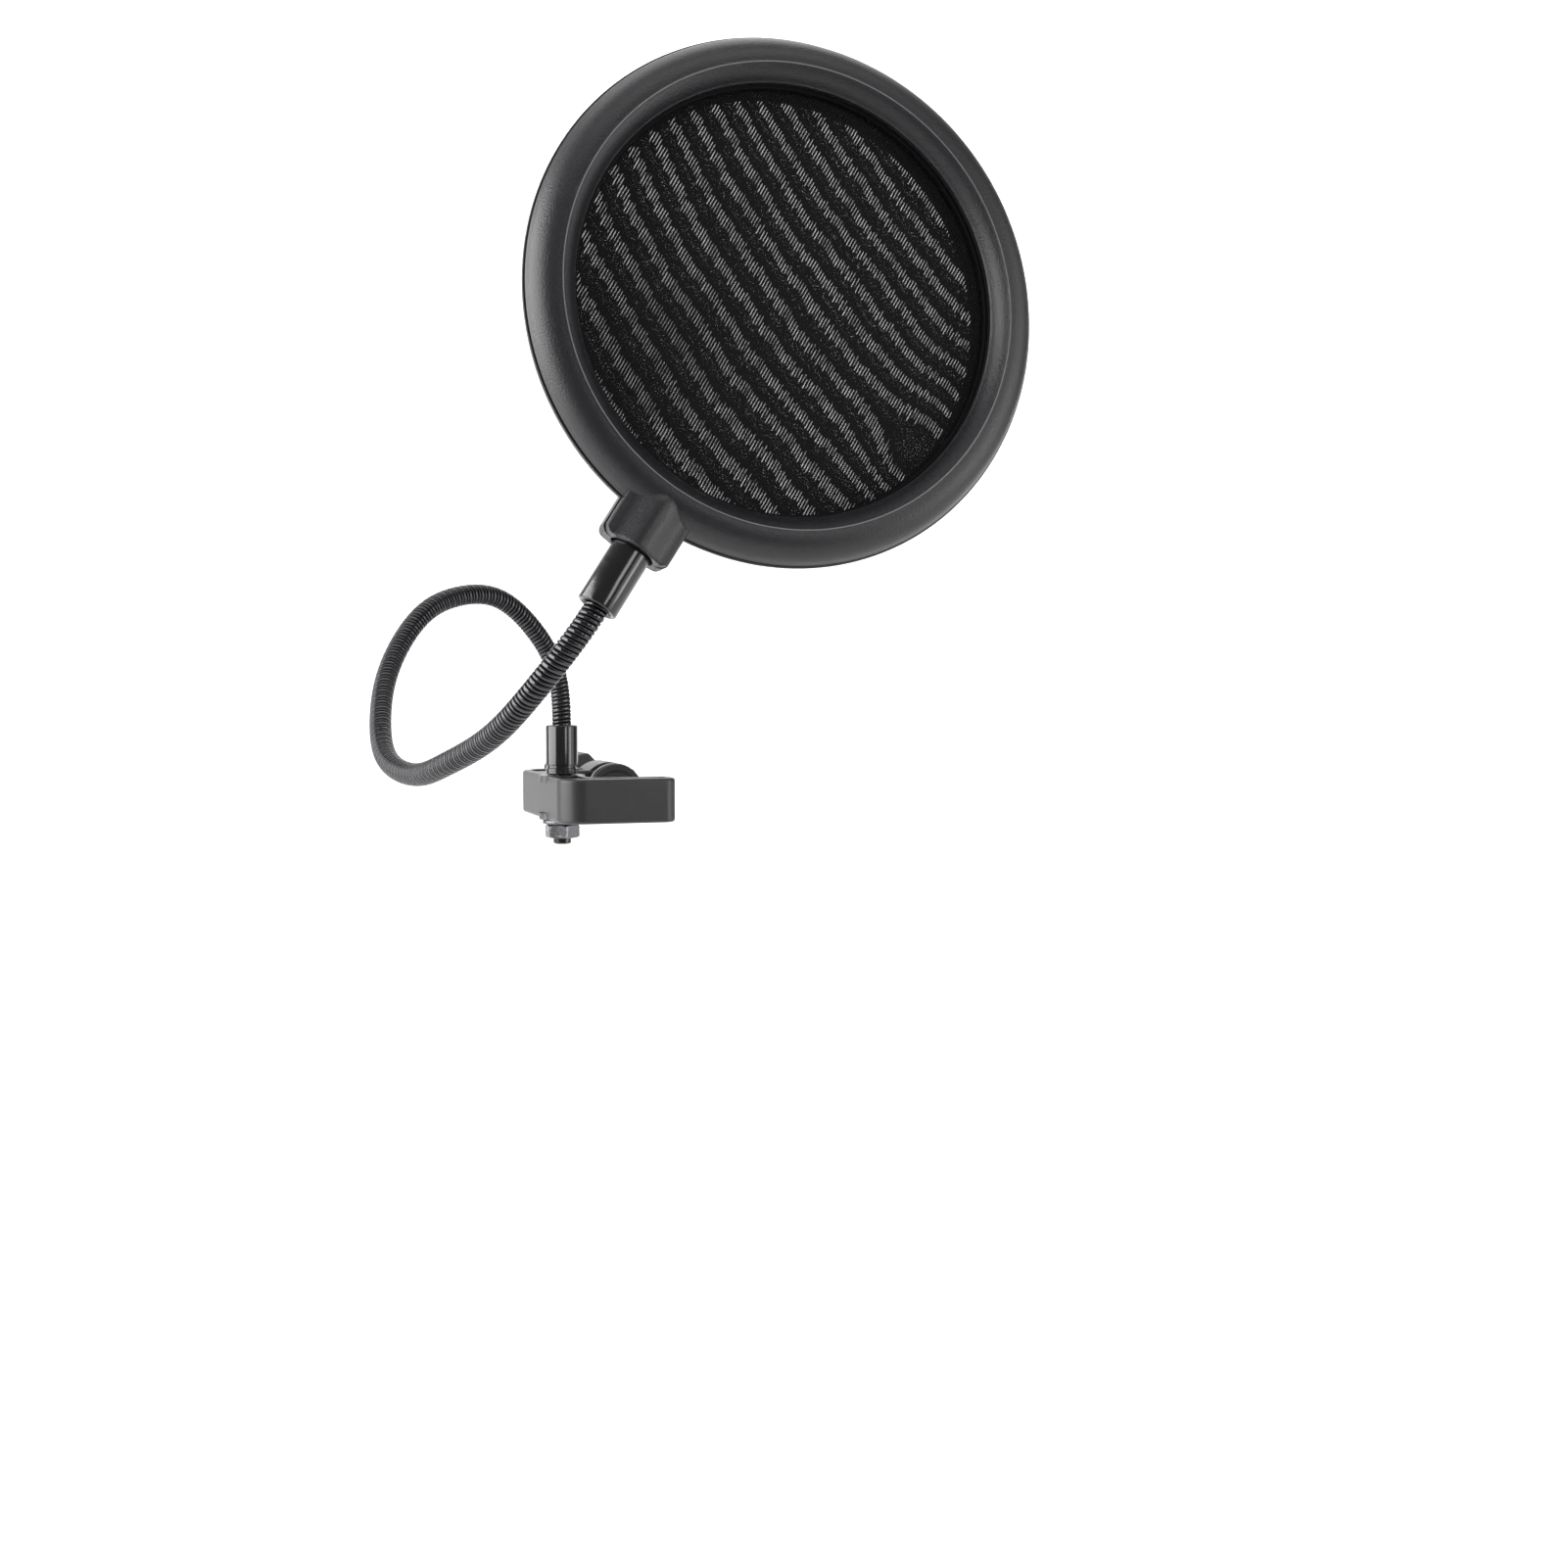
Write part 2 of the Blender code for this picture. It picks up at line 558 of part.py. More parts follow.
def build():
    clear_scene()
    plastic = material("satin_black_plastic", (0.022, 0.022, 0.024), 0.42, 0.0)
    nylon = material("black_nylon", (0.008, 0.008, 0.009), 0.6, 0.0)
    black_metal = material("gloss_black_metal", (0.02, 0.02, 0.021), 0.18, 1.0)
    neck_metal = material("black_wound_steel", (0.03, 0.03, 0.031), 0.32, 1.0)
    steel = material("zinc_steel", (0.6, 0.6, 0.6), 0.3, 1.0)
    brass = material("brass", (0.7, 0.52, 0.22), 0.35, 1.0)
    rubber = material("black_rubber", (0.015, 0.015, 0.015), 0.8, 0.0)

    head = empty("head_frame", HEAD_CENTRE, (math.radians(90.0 - HEAD_TILT), 0.0, 0.0))
    make_shells(head, plastic)
    make_hoops(head, plastic)
    make_meshes(head, nylon)
    make_upper_ferrule(head, black_metal)

    make_gooseneck(NeckPath(), neck_metal)

    clamp = empty("clamp_origin", (0.0, 0.0, 0.0))
    make_clamp_frame(clamp, black_metal)
    make_jaw_pad(clamp, rubber)
    make_threaded_insert(clamp, brass)
    make_lower_ferrule(clamp, black_metal)
    make_stud_fasteners(clamp, steel)

    foot = empty("foot_travel_axis", (0.0, 0.0, 0.0), parent=clamp)
    make_foot(foot, steel, rubber)
    screw = empty("screw_turn_axis", (0.0, 0.0, 0.0), parent=foot)
    make_screw(screw, steel)
    make_knob(screw, plastic)


build()
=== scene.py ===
import math

import bmesh
import bpy
import numpy as np
from mathutils import Matrix, Vector


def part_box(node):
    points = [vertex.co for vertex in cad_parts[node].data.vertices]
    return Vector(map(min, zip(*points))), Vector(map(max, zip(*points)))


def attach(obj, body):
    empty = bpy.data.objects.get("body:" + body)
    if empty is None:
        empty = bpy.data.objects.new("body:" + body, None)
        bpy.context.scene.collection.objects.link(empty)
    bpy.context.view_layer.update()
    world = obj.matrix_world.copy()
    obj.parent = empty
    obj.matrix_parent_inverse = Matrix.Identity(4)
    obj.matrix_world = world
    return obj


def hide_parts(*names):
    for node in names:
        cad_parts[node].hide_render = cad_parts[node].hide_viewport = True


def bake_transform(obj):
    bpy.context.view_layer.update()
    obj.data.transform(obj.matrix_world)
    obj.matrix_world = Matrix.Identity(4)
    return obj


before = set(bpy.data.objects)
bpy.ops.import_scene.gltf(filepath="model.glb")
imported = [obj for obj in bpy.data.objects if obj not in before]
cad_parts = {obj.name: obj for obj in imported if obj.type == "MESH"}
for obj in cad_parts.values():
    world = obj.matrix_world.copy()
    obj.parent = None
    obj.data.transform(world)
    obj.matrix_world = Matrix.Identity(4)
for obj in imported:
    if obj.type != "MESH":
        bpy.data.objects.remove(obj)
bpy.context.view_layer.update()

mm = 0.001
fullTurn = 2 * math.pi


def boxMiddle(node):
    low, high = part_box(node)
    return (Vector(low) + Vector(high)) / 2


# where things are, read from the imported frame
frontLayerDepth = 0.55 * mm          # front layer's middle behind the seam
faceNormal = (boxMiddle("front_mesh") - boxMiddle("rear_mesh")).normalized()
headCentre = boxMiddle("front_mesh") + faceNormal * frontLayerDepth
headTurn = math.pi / 2 - math.asin(faceNormal.z)
headMatrix = Matrix.Translation(headCentre) @ Matrix.Rotation(headTurn, 4, "X")
bossAngle = math.radians(236.6)
bossOut = (headMatrix.to_3x3() @ Vector((math.cos(bossAngle), math.sin(bossAngle), 0))).normalized()
bossUp = Matrix(((0, 0, 1, 0), (1, 0, 0, 0), (0, 1, 0, 0), (0, 0, 0, 1)))   # Z out along the boss, Y forward
bossMatrix = headMatrix @ Matrix.Rotation(bossAngle, 4, "Z") @ bossUp
alongY = Matrix.Rotation(-math.pi / 2, 4, "X")
studPlace = boxMiddle("lock_nut")
studMatrix = Matrix.Translation((studPlace.x, studPlace.y, 0))


# camera first, so the framing is settled before anything else
cameraSet = {
    "place": (-0.1663, -0.6311, 0.0443),
    "pitch": -3.5,
    "heading": -18.78,
    "lens": 47.22,
    "sensor": 36.0,
}


def addCamera(look):
    data = bpy.data.cameras.new("studioCamera")
    data.lens = look["lens"]
    data.sensor_width = look["sensor"]
    data.clip_start = 0.01
    eye = bpy.data.objects.new("studioCamera", data)
    bpy.context.scene.collection.objects.link(eye)
    eye.location = look["place"]
    eye.rotation_euler = (math.radians(90 + look["pitch"]), 0, math.radians(look["heading"]))
    bpy.context.scene.camera = eye


addCamera(cameraSet)
print("camera placed")


# modelling helpers

def clearSelection():
    bpy.ops.object.select_all(action="DESELECT")


def onlySelect(piece):
    clearSelection()
    piece.select_set(True)
    bpy.context.view_layer.objects.active = piece


def named(name):
    piece = bpy.context.object
    piece.name = name
    piece.data.name = name
    return piece


def selectAll():
    bpy.ops.mesh.select_all(action="SELECT")


def pull(step):
    bpy.ops.mesh.extrude_region_move(TRANSFORM_OT_translate={"value": step})


def faceOut(piece):
    # last step in edit mode: every face turned outwards
    selectAll()
    bpy.ops.mesh.normals_make_consistent(inside=False)
    bpy.ops.object.mode_set(mode="OBJECT")
    return piece


def turnFacesOut(piece):
    onlySelect(piece)
    bpy.ops.object.mode_set(mode="EDIT")
    return faceOut(piece)


def settle(piece, matrix=None):
    onlySelect(piece)
    if matrix is not None:
        piece.matrix_world = matrix @ piece.matrix_world
    bpy.ops.object.transform_apply(location=True, rotation=True, scale=True)
    return piece


def drawOutline(name, points, closed=True):
    clearSelection()
    bpy.ops.mesh.primitive_plane_add(size=mm, location=(0, 0, 0))
    piece = named(name)
    bpy.ops.object.mode_set(mode="EDIT")
    bpy.ops.mesh.merge(type="CENTER")
    bpy.ops.transform.translate(value=Vector(points[0]))
    for before, after in zip(points, points[1:]):
        pull(Vector(after) - Vector(before))
    if closed:
        shape = bmesh.from_edit_mesh(piece.data)
        shape.verts.ensure_lookup_table()
        for vert in shape.verts:
            vert.select = False
        shape.verts[0].select = True
        shape.verts[len(points) - 1].select = True
        bpy.ops.mesh.edge_face_add()
    return piece


def drawFace(name, points):
    piece = drawOutline(name, points)
    selectAll()
    bpy.ops.mesh.edge_face_add()
    return piece


def spun(name, outline, steps, closed=False):
    # radius and height in millimetres, turned round Z
    piece = drawOutline(name, [(radius * mm, 0, height * mm) for radius, height in outline], closed)
    selectAll()
    bpy.ops.mesh.spin(steps=steps, angle=fullTurn, center=(0, 0, 0), axis=(0, 0, 1))
    selectAll()
    bpy.ops.mesh.remove_doubles(threshold=mm / 1000)
    return faceOut(piece)


def plate(name, outline, low, high):
    # a flat outline between two heights, all in millimetres
    piece = drawFace(name, [(x * mm, y * mm, low * mm) for x, y in outline])
    pull((0, 0, (high - low) * mm))
    return faceOut(piece)


def applyModifier(piece, kind, **values):
    onlySelect(piece)
    modifier = piece.modifiers.new(kind.lower(), kind)
    for key, value in values.items():
        setattr(modifier, key, value)
    bpy.ops.object.modifier_apply(modifier=modifier.name)
    return piece


def combine(piece, other, operation):
    applyModifier(piece, "BOOLEAN", operation=operation, solver="EXACT", object=other)
    bpy.data.objects.remove(other, do_unlink=True)
    return piece


def combineTurned(piece, name, outline, steps, operation, matrix=None):
    return combine(piece, settle(spun(name, outline, steps), matrix), operation)


def softenEdges(piece, width, segments=3, angle=35):
    return applyModifier(piece, "BEVEL", width=width, segments=segments, limit_method="ANGLE",
                         angle_limit=math.radians(angle), use_clamp_overlap=True)


def shadeSmooth(piece, angle=35):
    onlySelect(piece)
    bpy.ops.object.shade_smooth_by_angle(angle=math.radians(angle))
    return piece


def turned(name, outline, steps, matrix, angle=35, closed=False):
    return shadeSmooth(settle(spun(name, outline, steps, closed), matrix), angle)


def evenShading(piece, angle):
    shadeSmooth(piece, angle)
    return applyModifier(piece, "WEIGHTED_NORMAL", keep_sharp=True, weight=60)


def fromShape(name, shape):
    mesh = bpy.data.meshes.new(name)
    shape.to_mesh(mesh)
    shape.free()
    piece = bpy.data.objects.new(name, mesh)
    bpy.context.scene.collection.objects.link(piece)
    return piece


def arcPoints(centre, radii, start, end, steps):
    turns = [math.radians(start + (end - start) * step / steps) for step in range(steps + 1)]
    return [(centre[0] + radii[0] * math.cos(turn), centre[1] + radii[1] * math.sin(turn))
            for turn in turns]


def roundedCorners(corners, steps=8):
    points = []
    for index, (x, y, radius) in enumerate(corners):
        corner = Vector((x, y))
        before = (Vector(corners[index - 1][:2]) - corner).normalized()
        after = (Vector(corners[(index + 1) % len(corners)][:2]) - corner).normalized()
        half = before.angle(after) / 2
        centre = corner + (before + after).normalized() * (radius / math.sin(half))
        start = (corner + before * (radius / math.tan(half)) - centre).normalized()
        end = (corner + after * (radius / math.tan(half)) - centre).normalized()
        points += [tuple(centre + start.slerp(end, step / steps) * radius) for step in range(steps + 1)]
    return points


# shader groups shared by several finishes

def newGroup(name, inputs, outputs):
    # takes the place on the surface and plain numbers, gives masks and heights
    group = bpy.data.node_groups.new(name, "ShaderNodeTree")
    group.interface.new_socket(name="Vector", in_out="INPUT", socket_type="NodeSocketVector")
    for label, value in inputs.items():
        socket = group.interface.new_socket(name=label, in_out="INPUT", socket_type="NodeSocketFloat")
        socket.default_value = value
    for label in outputs:
        group.interface.new_socket(name=label, in_out="OUTPUT", socket_type="NodeSocketFloat")
    return group, group.nodes.new("NodeGroupInput"), group.nodes.new("NodeGroupOutput")


def mathNode(tree, operation, first, second=None, clamp=False):
    node = tree.nodes.new("ShaderNodeMath")
    node.operation = operation
    node.use_clamp = clamp
    for socket, value in zip(node.inputs, (first, second)):
        if value is None:
            continue
        if isinstance(value, (int, float)):
            socket.default_value = value
        else:
            tree.links.new(value, socket)
    return node.outputs[0]


def noiseNode(tree, vector, scale, detail=3.0, roughness=0.5):
    node = tree.nodes.new("ShaderNodeTexNoise")
    node.inputs["Detail"].default_value = detail
    node.inputs["Roughness"].default_value = roughness
    if isinstance(scale, (int, float)):
        node.inputs["Scale"].default_value = scale
    else:
        tree.links.new(scale, node.inputs["Scale"])
    tree.links.new(vector, node.inputs["Vector"])
    return node.outputs["Fac"]


def buildGrain():
    group, entry, leave = newGroup("mouldedGrain", {"Scale": 5200.0, "Cloud": 60.0}, ["Height", "Cloudy"])
    fine = noiseNode(group, entry.outputs["Vector"], entry.outputs["Scale"], 2.0, 0.6)
    cloud = noiseNode(group, entry.outputs["Vector"], entry.outputs["Cloud"], 4.0, 0.55)
    group.links.new(fine, leave.inputs["Height"])
    group.links.new(cloud, leave.inputs["Cloudy"])
    return group


def buildEdgeWear():
    group, entry, leave = newGroup("edgeWear", {"From": 0.53, "Breakup": 700.0}, ["Mask"])
    geometry = group.nodes.new("ShaderNodeNewGeometry")
    above = mathNode(group, "SUBTRACT", geometry.outputs["Pointiness"], entry.outputs["From"])
    edge = mathNode(group, "MULTIPLY", above, 14.0, clamp=True)
    broken = noiseNode(group, entry.outputs["Vector"], entry.outputs["Breakup"], 4.0, 0.65)
    broken = mathNode(group, "MULTIPLY", mathNode(group, "SUBTRACT", broken, 0.35), 3.0, clamp=True)
    group.links.new(mathNode(group, "MULTIPLY", edge, broken), leave.inputs["Mask"])
    return group


def buildDust():
    group, entry, leave = newGroup("dustSpecks", {"Scale": 260.0, "Size": 0.05}, ["Mask"])
    cells = group.nodes.new("ShaderNodeTexVoronoi")
    group.links.new(entry.outputs["Vector"], cells.inputs["Vector"])
    group.links.new(entry.outputs["Scale"], cells.inputs["Scale"])
    near = mathNode(group, "LESS_THAN", cells.outputs["Distance"], entry.outputs["Size"])
    split = group.nodes.new("ShaderNodeSeparateColor")
    group.links.new(cells.outputs["Color"], split.inputs["Color"])
    chosen = mathNode(group, "GREATER_THAN", split.outputs["Red"], 0.8)
    group.links.new(mathNode(group, "MULTIPLY", near, chosen), leave.inputs["Mask"])
    return group


def buildBrushed():
    group, entry, leave = newGroup("turningMarks", {"Along": 9000.0, "Across": 150.0}, ["Height"])
    split = group.nodes.new("ShaderNodeSeparateXYZ")
    group.links.new(entry.outputs["Vector"], split.inputs["Vector"])
    join = group.nodes.new("ShaderNodeCombineXYZ")
    for axis, rate in (("X", "Across"), ("Y", "Across"), ("Z", "Along")):
        group.links.new(mathNode(group, "MULTIPLY", split.outputs[axis], entry.outputs[rate]),
                        join.inputs[axis])
    marks = noiseNode(group, join.outputs["Vector"], 1.0, 3.0, 0.6)
    group.links.new(marks, leave.inputs["Height"])
    return group


grainGroup = buildGrain()
wearGroup = buildEdgeWear()
dustGroup = buildDust()
marksGroup = buildBrushed()


def startFinish(name, matrix=None):
    material = bpy.data.materials.new(name)
    material.use_nodes = True
    tree = material.node_tree
    place = tree.nodes.new("ShaderNodeTexCoord").outputs["Object"]
    if matrix is not None:
        mapping = tree.nodes.new("ShaderNodeMapping")
        mapping.vector_type = "TEXTURE"
        mapping.inputs["Location"].default_value = matrix.to_translation()
        mapping.inputs["Rotation"].default_value = matrix.to_euler("XYZ")
        tree.links.new(place, mapping.inputs["Vector"])
        place = mapping.outputs["Vector"]
    return material, tree, tree.nodes["Principled BSDF"], place


def useGroup(tree, group, place, **values):
    node = tree.nodes.new("ShaderNodeGroup")
    node.node_tree = group
    tree.links.new(place, node.inputs["Vector"])
    for key, value in values.items():
        node.inputs[key].default_value = value
    return node.outputs


def mixColour(tree, factor, first, second):
    node = tree.nodes.new("ShaderNodeMix")
    node.data_type = "RGBA"
    tree.links.new(factor, node.inputs[0])
    for socket, value in ((node.inputs[6], first), (node.inputs[7], second)):
        if isinstance(value, tuple):
            socket.default_value = (*value, 1)
        else:
            tree.links.new(value, socket)
    return node.outputs[2]


def spread(tree, factor, low, high):
    node = tree.nodes.new("ShaderNodeMapRange")
    tree.links.new(factor, node.inputs["Value"])
    node.inputs["To Min"].default_value = low
    node.inputs["To Max"].default_value = high
    return node.outputs["Result"]


def addBump(tree, shader, height, strength, distance):
    node = tree.nodes.new("ShaderNodeBump")
    node.inputs["Strength"].default_value = strength
    node.inputs["Distance"].default_value = distance
    tree.links.new(height, node.inputs["Height"])
    tree.links.new(node.outputs["Normal"], shader.inputs["Normal"])


def vectorNode(tree, operation, vector, second=None):
    node = tree.nodes.new("ShaderNodeVectorMath")
    node.operation = operation
    tree.links.new(vector, node.inputs[0])
    if second is not None:
        node.inputs[1].default_value = second
    return node.outputs


def paintedCrestHighlight(tree, place, look):
    # painted highlight: a thin line along the crest of the ring is painted lighter, standing in for the
    # bright line the lamps draw there
    flat = vectorNode(tree, "MULTIPLY", place, (1, 1, 0))["Vector"]
    reach = vectorNode(tree, "LENGTH", flat)["Value"]
    away = mathNode(tree, "ABSOLUTE", mathNode(tree, "SUBTRACT", reach, look["ridge"] * mm))
    share = mathNode(tree, "DIVIDE", away, look["ridgeWidth"] * mm)
    crest = mathNode(tree, "SUBTRACT", 1.0, share, clamp=True)
    return mathNode(tree, "MULTIPLY", mathNode(tree, "POWER", crest, 0.7), look["highlightStrength"])


def mouldedPlastic(name, look, matrix=None):
    material, tree, shader, place = startFinish(name, matrix)
    grain = useGroup(tree, grainGroup, place, Scale=look["grain"], Cloud=look["cloud"])
    wear = useGroup(tree, wearGroup, place, From=look["wearFrom"])
    dust = useGroup(tree, dustGroup, place, Scale=look["dust"])
    base = mixColour(tree, grain["Cloudy"], look["dark"], look["light"])
    base = mixColour(tree, mathNode(tree, "MULTIPLY", wear["Mask"], look["wear"]), base, look["worn"])
    base = mixColour(tree, mathNode(tree, "MULTIPLY", dust["Mask"], look["dustiness"]), base, look["worn"])
    rough = spread(tree, grain["Cloudy"], *look["roughness"])
    rough = mathNode(tree, "ADD", rough, mathNode(tree, "MULTIPLY", grain["Height"], look["sparkle"]))
    # painted highlight along the ridge, where one is given
    if look["ridge"]:
        base = mixColour(tree, paintedCrestHighlight(tree, place, look), base, look["highlightColour"])
    tree.links.new(base, shader.inputs["Base Color"])
    tree.links.new(rough, shader.inputs["Roughness"])
    shader.inputs["IOR"].default_value = look["ior"]
    addBump(tree, shader, grain["Height"], look["bump"], look["depth"])
    return material


def turnedMetal(name, look, matrix=None):
    material, tree, shader, place = startFinish(name, matrix)
    marks = useGroup(tree, marksGroup, place, Along=look["along"], Across=look["across"])
    grain = useGroup(tree, grainGroup, place, Scale=look["grain"], Cloud=look["cloud"])
    wear = useGroup(tree, wearGroup, place, From=look["wearFrom"])
    base = mixColour(tree, grain["Cloudy"], look["dark"], look["light"])
    base = mixColour(tree, mathNode(tree, "MULTIPLY", wear["Mask"], look["wear"]), base, look["worn"])
    rough = spread(tree, marks["Height"], *look["roughness"])
    if look["grooved"]:
        # painted shade: the grooves between the wires are painted near black and made rougher, standing in
        # for the shade that falls in them
        groove = tree.nodes.new("ShaderNodeAttribute")
        groove.attribute_name = "groove"
        deep = groove.outputs["Fac"]
        base = mixColour(tree, deep, base, look["grooveShade"])
        rough = mathNode(tree, "ADD", rough, mathNode(tree, "MULTIPLY", deep, look["grooveRough"]), clamp=True)
    tree.links.new(base, shader.inputs["Base Color"])
    tree.links.new(rough, shader.inputs["Roughness"])
    shader.inputs["Metallic"].default_value = look["metallic"]
    shader.inputs["Coat Weight"].default_value = look["coat"]
    shader.inputs["Coat Roughness"].default_value = look["coatRoughness"]
    addBump(tree, shader, marks["Height"], look["bump"], look["depth"])
    return material


def coat(piece, material):
    piece.data.materials.clear()
    piece.data.materials.append(material)
    return piece


def fit(piece, body, nodes, material):
    coat(piece, material)
    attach(piece, body)
    if nodes:
        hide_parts(*nodes)
    return piece


# finishes
shellFinish = {
    "grain": 2300.0, "cloud": 45.0, "wearFrom": 0.56, "dust": 330.0,
    "dark": (0.0080, 0.0080, 0.0096), "light": (0.0125, 0.0125, 0.0146), "worn": (0.11, 0.11, 0.118),
    "wear": 0.35, "dustiness": 0.3, "roughness": (0.25, 0.33), "sparkle": 0.1, "ior": 1.46,
    # the ridge values paint a thin highlight line along the ring's crest
    "bump": 0.6, "depth": 0.00018, "ridge": None, "ridgeWidth": 0.2, "highlightStrength": 0.55,
    "highlightColour": (0.28, 0.28, 0.29),
}
hoopFinish = dict(shellFinish, dark=(0.0016, 0.0016, 0.0018), light=(0.003, 0.003, 0.0033),
                  roughness=(0.55, 0.65), ior=1.2, wear=0.05, dustiness=0.0)
knobFinish = dict(shellFinish, grain=2600.0, dark=(0.008, 0.008, 0.009), roughness=(0.36, 0.48), bump=0.3)
rubberFinish = dict(shellFinish, grain=1900.0, dark=(0.011, 0.011, 0.011), light=(0.02, 0.02, 0.02),
                    roughness=(0.62, 0.78), ior=1.4, bump=0.4, wear=0.0, dustiness=0.6)
ferruleFinish = {
    "along": 2100.0, "across": 60.0, "grain": 900.0, "cloud": 180.0, "wearFrom": 0.56,
    "dark": (0.004, 0.004, 0.0045), "light": (0.009, 0.009, 0.01), "worn": (0.4, 0.4, 0.41),
    "wear": 0.5, "roughness": (0.08, 0.20), "metallic": 0.0, "coat": 0.2, "coatRoughness": 0.04,
    "bump": 0.14, "depth": 0.0001, "grooved": False,
}
# the neck's grooves get painted shade, near black
neckFinish = dict(ferruleFinish, along=1300.0, across=1300.0, dark=(0.045, 0.045, 0.048),
                  light=(0.085, 0.085, 0.09), roughness=(0.08, 0.16), wearFrom=0.6, wear=0.0,
                  metallic=1.0, coat=0.0, grooved=True, grooveShade=(0.0006, 0.0006, 0.0006), grooveRough=0.7)
castFinish = dict(ferruleFinish, along=1400.0, across=1400.0, dark=(0.007, 0.007, 0.0075),
                  light=(0.014, 0.014, 0.015), roughness=(0.34, 0.48), metallic=0.1, coat=0.15,
                  coatRoughness=0.3, bump=0.35, wearFrom=0.55, wear=0.3)
steelFinish = dict(ferruleFinish, along=4200.0, across=90.0, dark=(0.09, 0.09, 0.095),
                   light=(0.17, 0.17, 0.18), worn=(0.6, 0.6, 0.6), roughness=(0.2, 0.36),
                   metallic=1.0, coat=0.0)
brassFinish = dict(steelFinish, dark=(0.42, 0.27, 0.09), light=(0.58, 0.40, 0.16), worn=(0.8, 0.62, 0.32))

# both shells get a painted highlight line along their crest
frontPlastic = mouldedPlastic("frontShellPlastic", dict(shellFinish, ridge=57.0), headMatrix)
rearPlastic = mouldedPlastic("rearShellPlastic", dict(shellFinish, ridge=57.5), headMatrix)
hoopPlastic = mouldedPlastic("hoopPlastic", hoopFinish)
knobPlastic = mouldedPlastic("knobPlastic", knobFinish)
gripRubber = mouldedPlastic("gripRubber", rubberFinish)
blackFerrule = turnedMetal("blackFerruleCoat", ferruleFinish, bossMatrix)
blackStand = turnedMetal("blackStandCoat", ferruleFinish, studMatrix)
neckCoat = turnedMetal("gooseneckCoat", neckFinish)
castCoat = turnedMetal("castClampCoat", castFinish)
screwSteel = turnedMetal("screwSteel", steelFinish, alongY)
nutSteel = turnedMetal("nutSteel", steelFinish, studMatrix)
insertBrass = turnedMetal("insertBrass", brassFinish, alongY)
print("finishes made")


# filter head: two moulded ring shells, each with half of the boss
shellSet = {
    "steps": 176, "seam": 0.15, "seamEdge": 0.3, "lipRadius": 53.2,
    "pocketRadius": 57.0, "pocketWall": 58.6, "channelOuter": 63.2, "bead": 0.34, "beadRise": 0.1,
    "bandSteps": 22,
}
# the skirt of the rear shell stands a little forward and proud of the front one
frontShellSet = {"side": 1, "ridge": (57.0, 7.27), "lip": (3.27, 1.9), "crown": 0.32,
                 "outer": 64.85, "skirt": 1.2, "rim": 0.0, "rimEnd": 1.5}
rearShellSet = {"side": -1, "ridge": (57.5, 9.6), "lip": (8.7, 7.7), "crown": 0.08,
                "outer": 64.95, "skirt": -0.85, "rim": 0.4, "rimEnd": 0.25}
bossSet = {
    "from": 57.4, "to": 74.0, "half": 8.8, "side": 4.3, "crown": 7.7, "edge": 1.0, "archSteps": 16,
    "domeLength": 4.6, "domeSteps": 12, "domeTip": 0.3, "corner": 2.6, "endEdge": 0.6,
    "bore": 5.4, "mouth": 5.9, "flangeRadius": 6.7, "flangeSpan": (61.3, 64.0),
}


def shellSection(look):
    base = shellSet
    ridgeRadius, ridgeHeight = look["ridge"]
    lipOuter, lipInner = look["lip"]
    edge, seam, skirt = base["seamEdge"], base["seam"], look["skirt"]
    wide = look["outer"] + look["rim"]
    band = arcPoints((ridgeRadius, seam), (look["outer"] - ridgeRadius, ridgeHeight - seam),
                     0, 88, base["bandSteps"])
    band = [point for point in band if point[1] > look["rimEnd"] + edge]
    bead = base["bead"]
    ridge = arcPoints((ridgeRadius, ridgeHeight + base["beadRise"] - bead), (bead, bead), 62, 158, 6)
    inner = arcPoints((ridgeRadius, 0), (base["channelOuter"] - ridgeRadius, ridgeHeight - 2.0), 62, 16, 5)
    section = [(wide - edge, skirt)]
    section += arcPoints((wide - edge, skirt + edge), (edge, edge), -60, 0, 3)
    if look["rim"]:
        section += arcPoints((wide - edge, look["rimEnd"] - edge), (edge, edge), 0, 70, 4)
    section += band + ridge
    start, end = Vector(ridge[-1]), Vector((base["lipRadius"] + edge, lipOuter + edge * 0.6))
    across = (end - start).normalized()
    section += [tuple(start.lerp(end, t) + Vector((across.y, -across.x)) * look["crown"] * 4 * t * (1 - t))
                for t in (0.12, 0.25, 0.37, 0.5, 0.62, 0.75, 0.87)]
    section += [tuple(end), (base["lipRadius"] + edge * 0.25, lipOuter),
                (base["lipRadius"], lipOuter - edge), (base["lipRadius"], lipInner),
                (base["pocketRadius"], lipInner), (base["pocketRadius"], seam), (base["pocketWall"], seam),
                (base["pocketWall"], inner[0][1]), *inner, (base["channelOuter"], skirt)]
    return [(radius, look["side"] * height) for radius, height in section]


def bossOutline(skirt, proud):
    # half of the boss seen along the neck: upright sides and a swell that dies away towards them
    look = bossSet
    half, edge = look["half"] + proud, look["edge"]
    right = [(half - 0.3, skirt), (half - 0.09, skirt + 0.09), (half, skirt + 0.3)]
    right += arcPoints((half - edge, look["side"] - edge), (edge, edge), 0, 84, 6)
    reach = half - edge
    shares = [1 - (step + 1) / look["archSteps"] for step in range(look["archSteps"] - 1)]
    right += [(reach * share, look["side"] + (look["crown"] - look["side"])
               * math.cos(math.pi / 2 * share) ** 2) for share in shares]
    across = right + [(0, look["crown"])]
    return [(x * mm, y * mm) for x, y in across + [(-x, y) for x, y in reversed(across[:-1])]]


